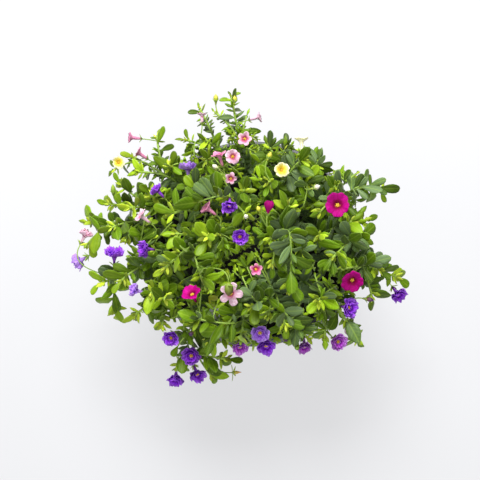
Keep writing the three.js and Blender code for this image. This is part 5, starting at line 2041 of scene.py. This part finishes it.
@dataclass
class PlantLabel:
    """The blank stake label: a rounded head on a pointed stake."""

    width: float = LABEL_WIDTH
    stake: float = STAKE_WIDTH
    thickness: float = LABEL_THICKNESS

    def build(self, material: Material) -> Object:
        """Builds the label, standing in its slot."""
        deselect_all()
        top = STAKE_LENGTH + LABEL_HEIGHT
        bpy.ops.mesh.primitive_cube_add(size=1, location=(0, 0, 0))
        obj = bpy.context.object
        obj.name = obj.data.name = "stake_label"
        bpy.ops.object.mode_set(mode="EDIT")
        bpy.ops.mesh.select_all(action="SELECT")
        foot, width = STAKE_LENGTH + 6, self.width
        head = top - foot
        bpy.ops.transform.resize(value=(width * MM, head * MM, self.thickness * MM))
        bpy.ops.transform.translate(value=(0, (top - head / 2) * MM, 0))
        for next_width, height in ((self.stake, STAKE_LENGTH - 4), (self.stake, 8), (2, 0)):
            select_parts(obj, "FACE", lambda *ends, y=foot * MM: max(abs(co.y - y) for co in ends) < 1e-6)
            bpy.ops.mesh.extrude_region_move(TRANSFORM_OT_translate={"value": (0, (height - foot) * MM, 0)})
            bpy.ops.transform.resize(value=(next_width / width, 1, 1), center_override=(0, height * MM, 0))
            foot, width = height, next_width
        select_parts(obj, "EDGE", lambda a, b: min(a.y, b.y) > top * MM - 1e-6 and abs(a.x - b.x) < 1e-6)
        bpy.ops.mesh.bevel(offset=LABEL_CORNER * MM, segments=5, affect="EDGES")
        bpy.ops.mesh.select_all(action="SELECT")
        bpy.ops.mesh.normals_make_consistent(inside=False)
        bpy.ops.object.mode_set(mode="OBJECT")
        bevel = obj.modifiers.new("edges", "BEVEL")
        bevel.width = 0.25 * MM
        bevel.segments = 2
        bpy.ops.object.modifier_apply(modifier="edges")
        along = obj.data.attributes.new("along", "FLOAT", "POINT")
        along.data.foreach_set("value", [vert.co.y / (top * MM) for vert in obj.data.vertices])
        obj.rotation_euler = (math.radians(90 - LABEL_LEAN), 0, 0)
        obj.location = Vector(LABEL_FOOT) * MM
        bpy.ops.object.transform_apply(location=True, rotation=True, scale=True)
        obj.data.materials.append(material)
        bpy.ops.object.shade_smooth_by_angle(angle=math.radians(40))
        return obj


# ------------------------------------------------------------------ stage


@dataclass
class Studio:
    """A pale floor with a painted glow, a broad soft light above and behind the plant, and the camera."""

    elevation: float = 68.0
    distance: float = 1.4
    aim: tuple[float, float, float] = (-0.01284, -0.00231, 0.130)
    focal: float = 98.13

    def build(self) -> None:
        """Sets up the floor, the lights, the surroundings and the camera."""
        self.add_floor()
        self.add_light("broad_light", (-0.2, 0.9, 2.0), 1.2, 72.0)
        self.add_light("fill_light", (0.1, -1.6, 1.9), 2.2, 27.0)
        world = bpy.data.worlds.new("pale_room")
        bpy.context.scene.world = world
        world.use_nodes = True
        background = world.node_tree.nodes["Background"]
        background.inputs["Color"].default_value = linear("#FBFBFA")
        background.inputs["Strength"].default_value = 0.24
        self.add_camera()
        bpy.context.scene.view_settings.view_transform = "Standard"

    def add_floor(self) -> None:
        """Adds the floor, whose painted glow lightens the shadow under the plant."""
        deselect_all()
        bpy.ops.mesh.primitive_plane_add(size=8, location=(0, 0, 0))
        floor = bpy.context.object
        floor.name = floor.data.name = "floor"
        # The floor's material emits a painted glow that lightens the plant's shadow.
        floor.data.materials.append(PaintedGlowFloor("matt_floor_with_painted_glow", 0.8, relief=0).make())
        floor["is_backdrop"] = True

    @staticmethod
    def add_light(name: str, place: tuple[float, float, float], size: float, power: float) -> None:
        """Adds a soft square light that is aimed at the plant."""
        deselect_all()
        bpy.ops.object.light_add(type="AREA", location=place)
        light = bpy.context.object
        light.name = light.data.name = name
        light.data.size = size
        light.data.energy = power
        light.rotation_euler = (Vector((0, 0, 0.15)) - Vector(place)).to_track_quat("-Z", "Y").to_euler()

    def add_camera(self) -> None:
        """Adds the camera, which looks steeply down on the plant."""
        lift = math.radians(self.elevation)
        aim = Vector(self.aim)
        place = aim + Vector((0, -math.cos(lift), math.sin(lift))) * self.distance
        deselect_all()
        bpy.ops.object.camera_add(location=place, rotation=(math.pi / 2 - lift, 0, 0))
        camera = bpy.context.object
        camera.data.lens = self.focal
        camera.data.sensor_width = 36.0
        bpy.context.scene.camera = camera


def finish_piece(obj: Object, node: str) -> None:
    """Puts a piece in its node's place and reports it."""
    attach(obj, "root")
    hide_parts(node)
    log.info("%s: %d faces", obj.name, len(obj.data.polygons))


def main() -> None:
    """Builds each piece in order, and the studio round them."""
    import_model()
    solid_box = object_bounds()
    inside = tuple(Vector(corner) for corner in solid_box)
    patterns = Patterns.model()
    growth = Growth()
    growth.grow()
    growth.fill_out()
    log.info("%d leaves", sum(len(spray.leaves) for spray in growth.sprays))
    finishes = {
        "leaf": LeafTissue("living_leaf", 0.42, relief=0.12, grain=0.8).make(),
        "stem": StemTissue("soft_green_stem", 0.55).make(),
        "pollen": Pollen("pollen", 0.8, relief=0.3, grain=0.3).make(),
        **{look.value: finish.make() for look, finish in BUDS_AND_FRUIT.items()},
        **{kind.value: finish.make() for kind, finish in PETALS.items()},
    }
    draws = Draws(LOOKS_SEED)
    plastic = MouldedPlastic("moulded_polypropylene", 0.42, grain=0.5).make()
    finish_piece(Pot().build(plastic), "pot")
    # The peat's near-black browns are partly painted shade under the leaves.
    fibre = MoistPeat("moist_peat", 0.95, relief=0.8, grain=1.2).make()
    finish_piece(Peat(patterns, draws).build(fibre, inside), "peat")
    card = LabelPlastic("label_plastic", 0.35, relief=0.03).make()
    finish_piece(PlantLabel().build(card), "plant_label")
    for spray in growth.sprays:
        piece = Foliage(spray, patterns, draws).build(finishes, inside)
        finish_piece(piece, "spray_" + spray.name)
    for bloom in growth.blooms:
        piece = Corolla(bloom, patterns, draws).build(finishes, inside)
        finish_piece(piece, "bloom_" + bloom.name)
    Studio().build()
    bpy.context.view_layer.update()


if __name__ == "__main__":
    main()
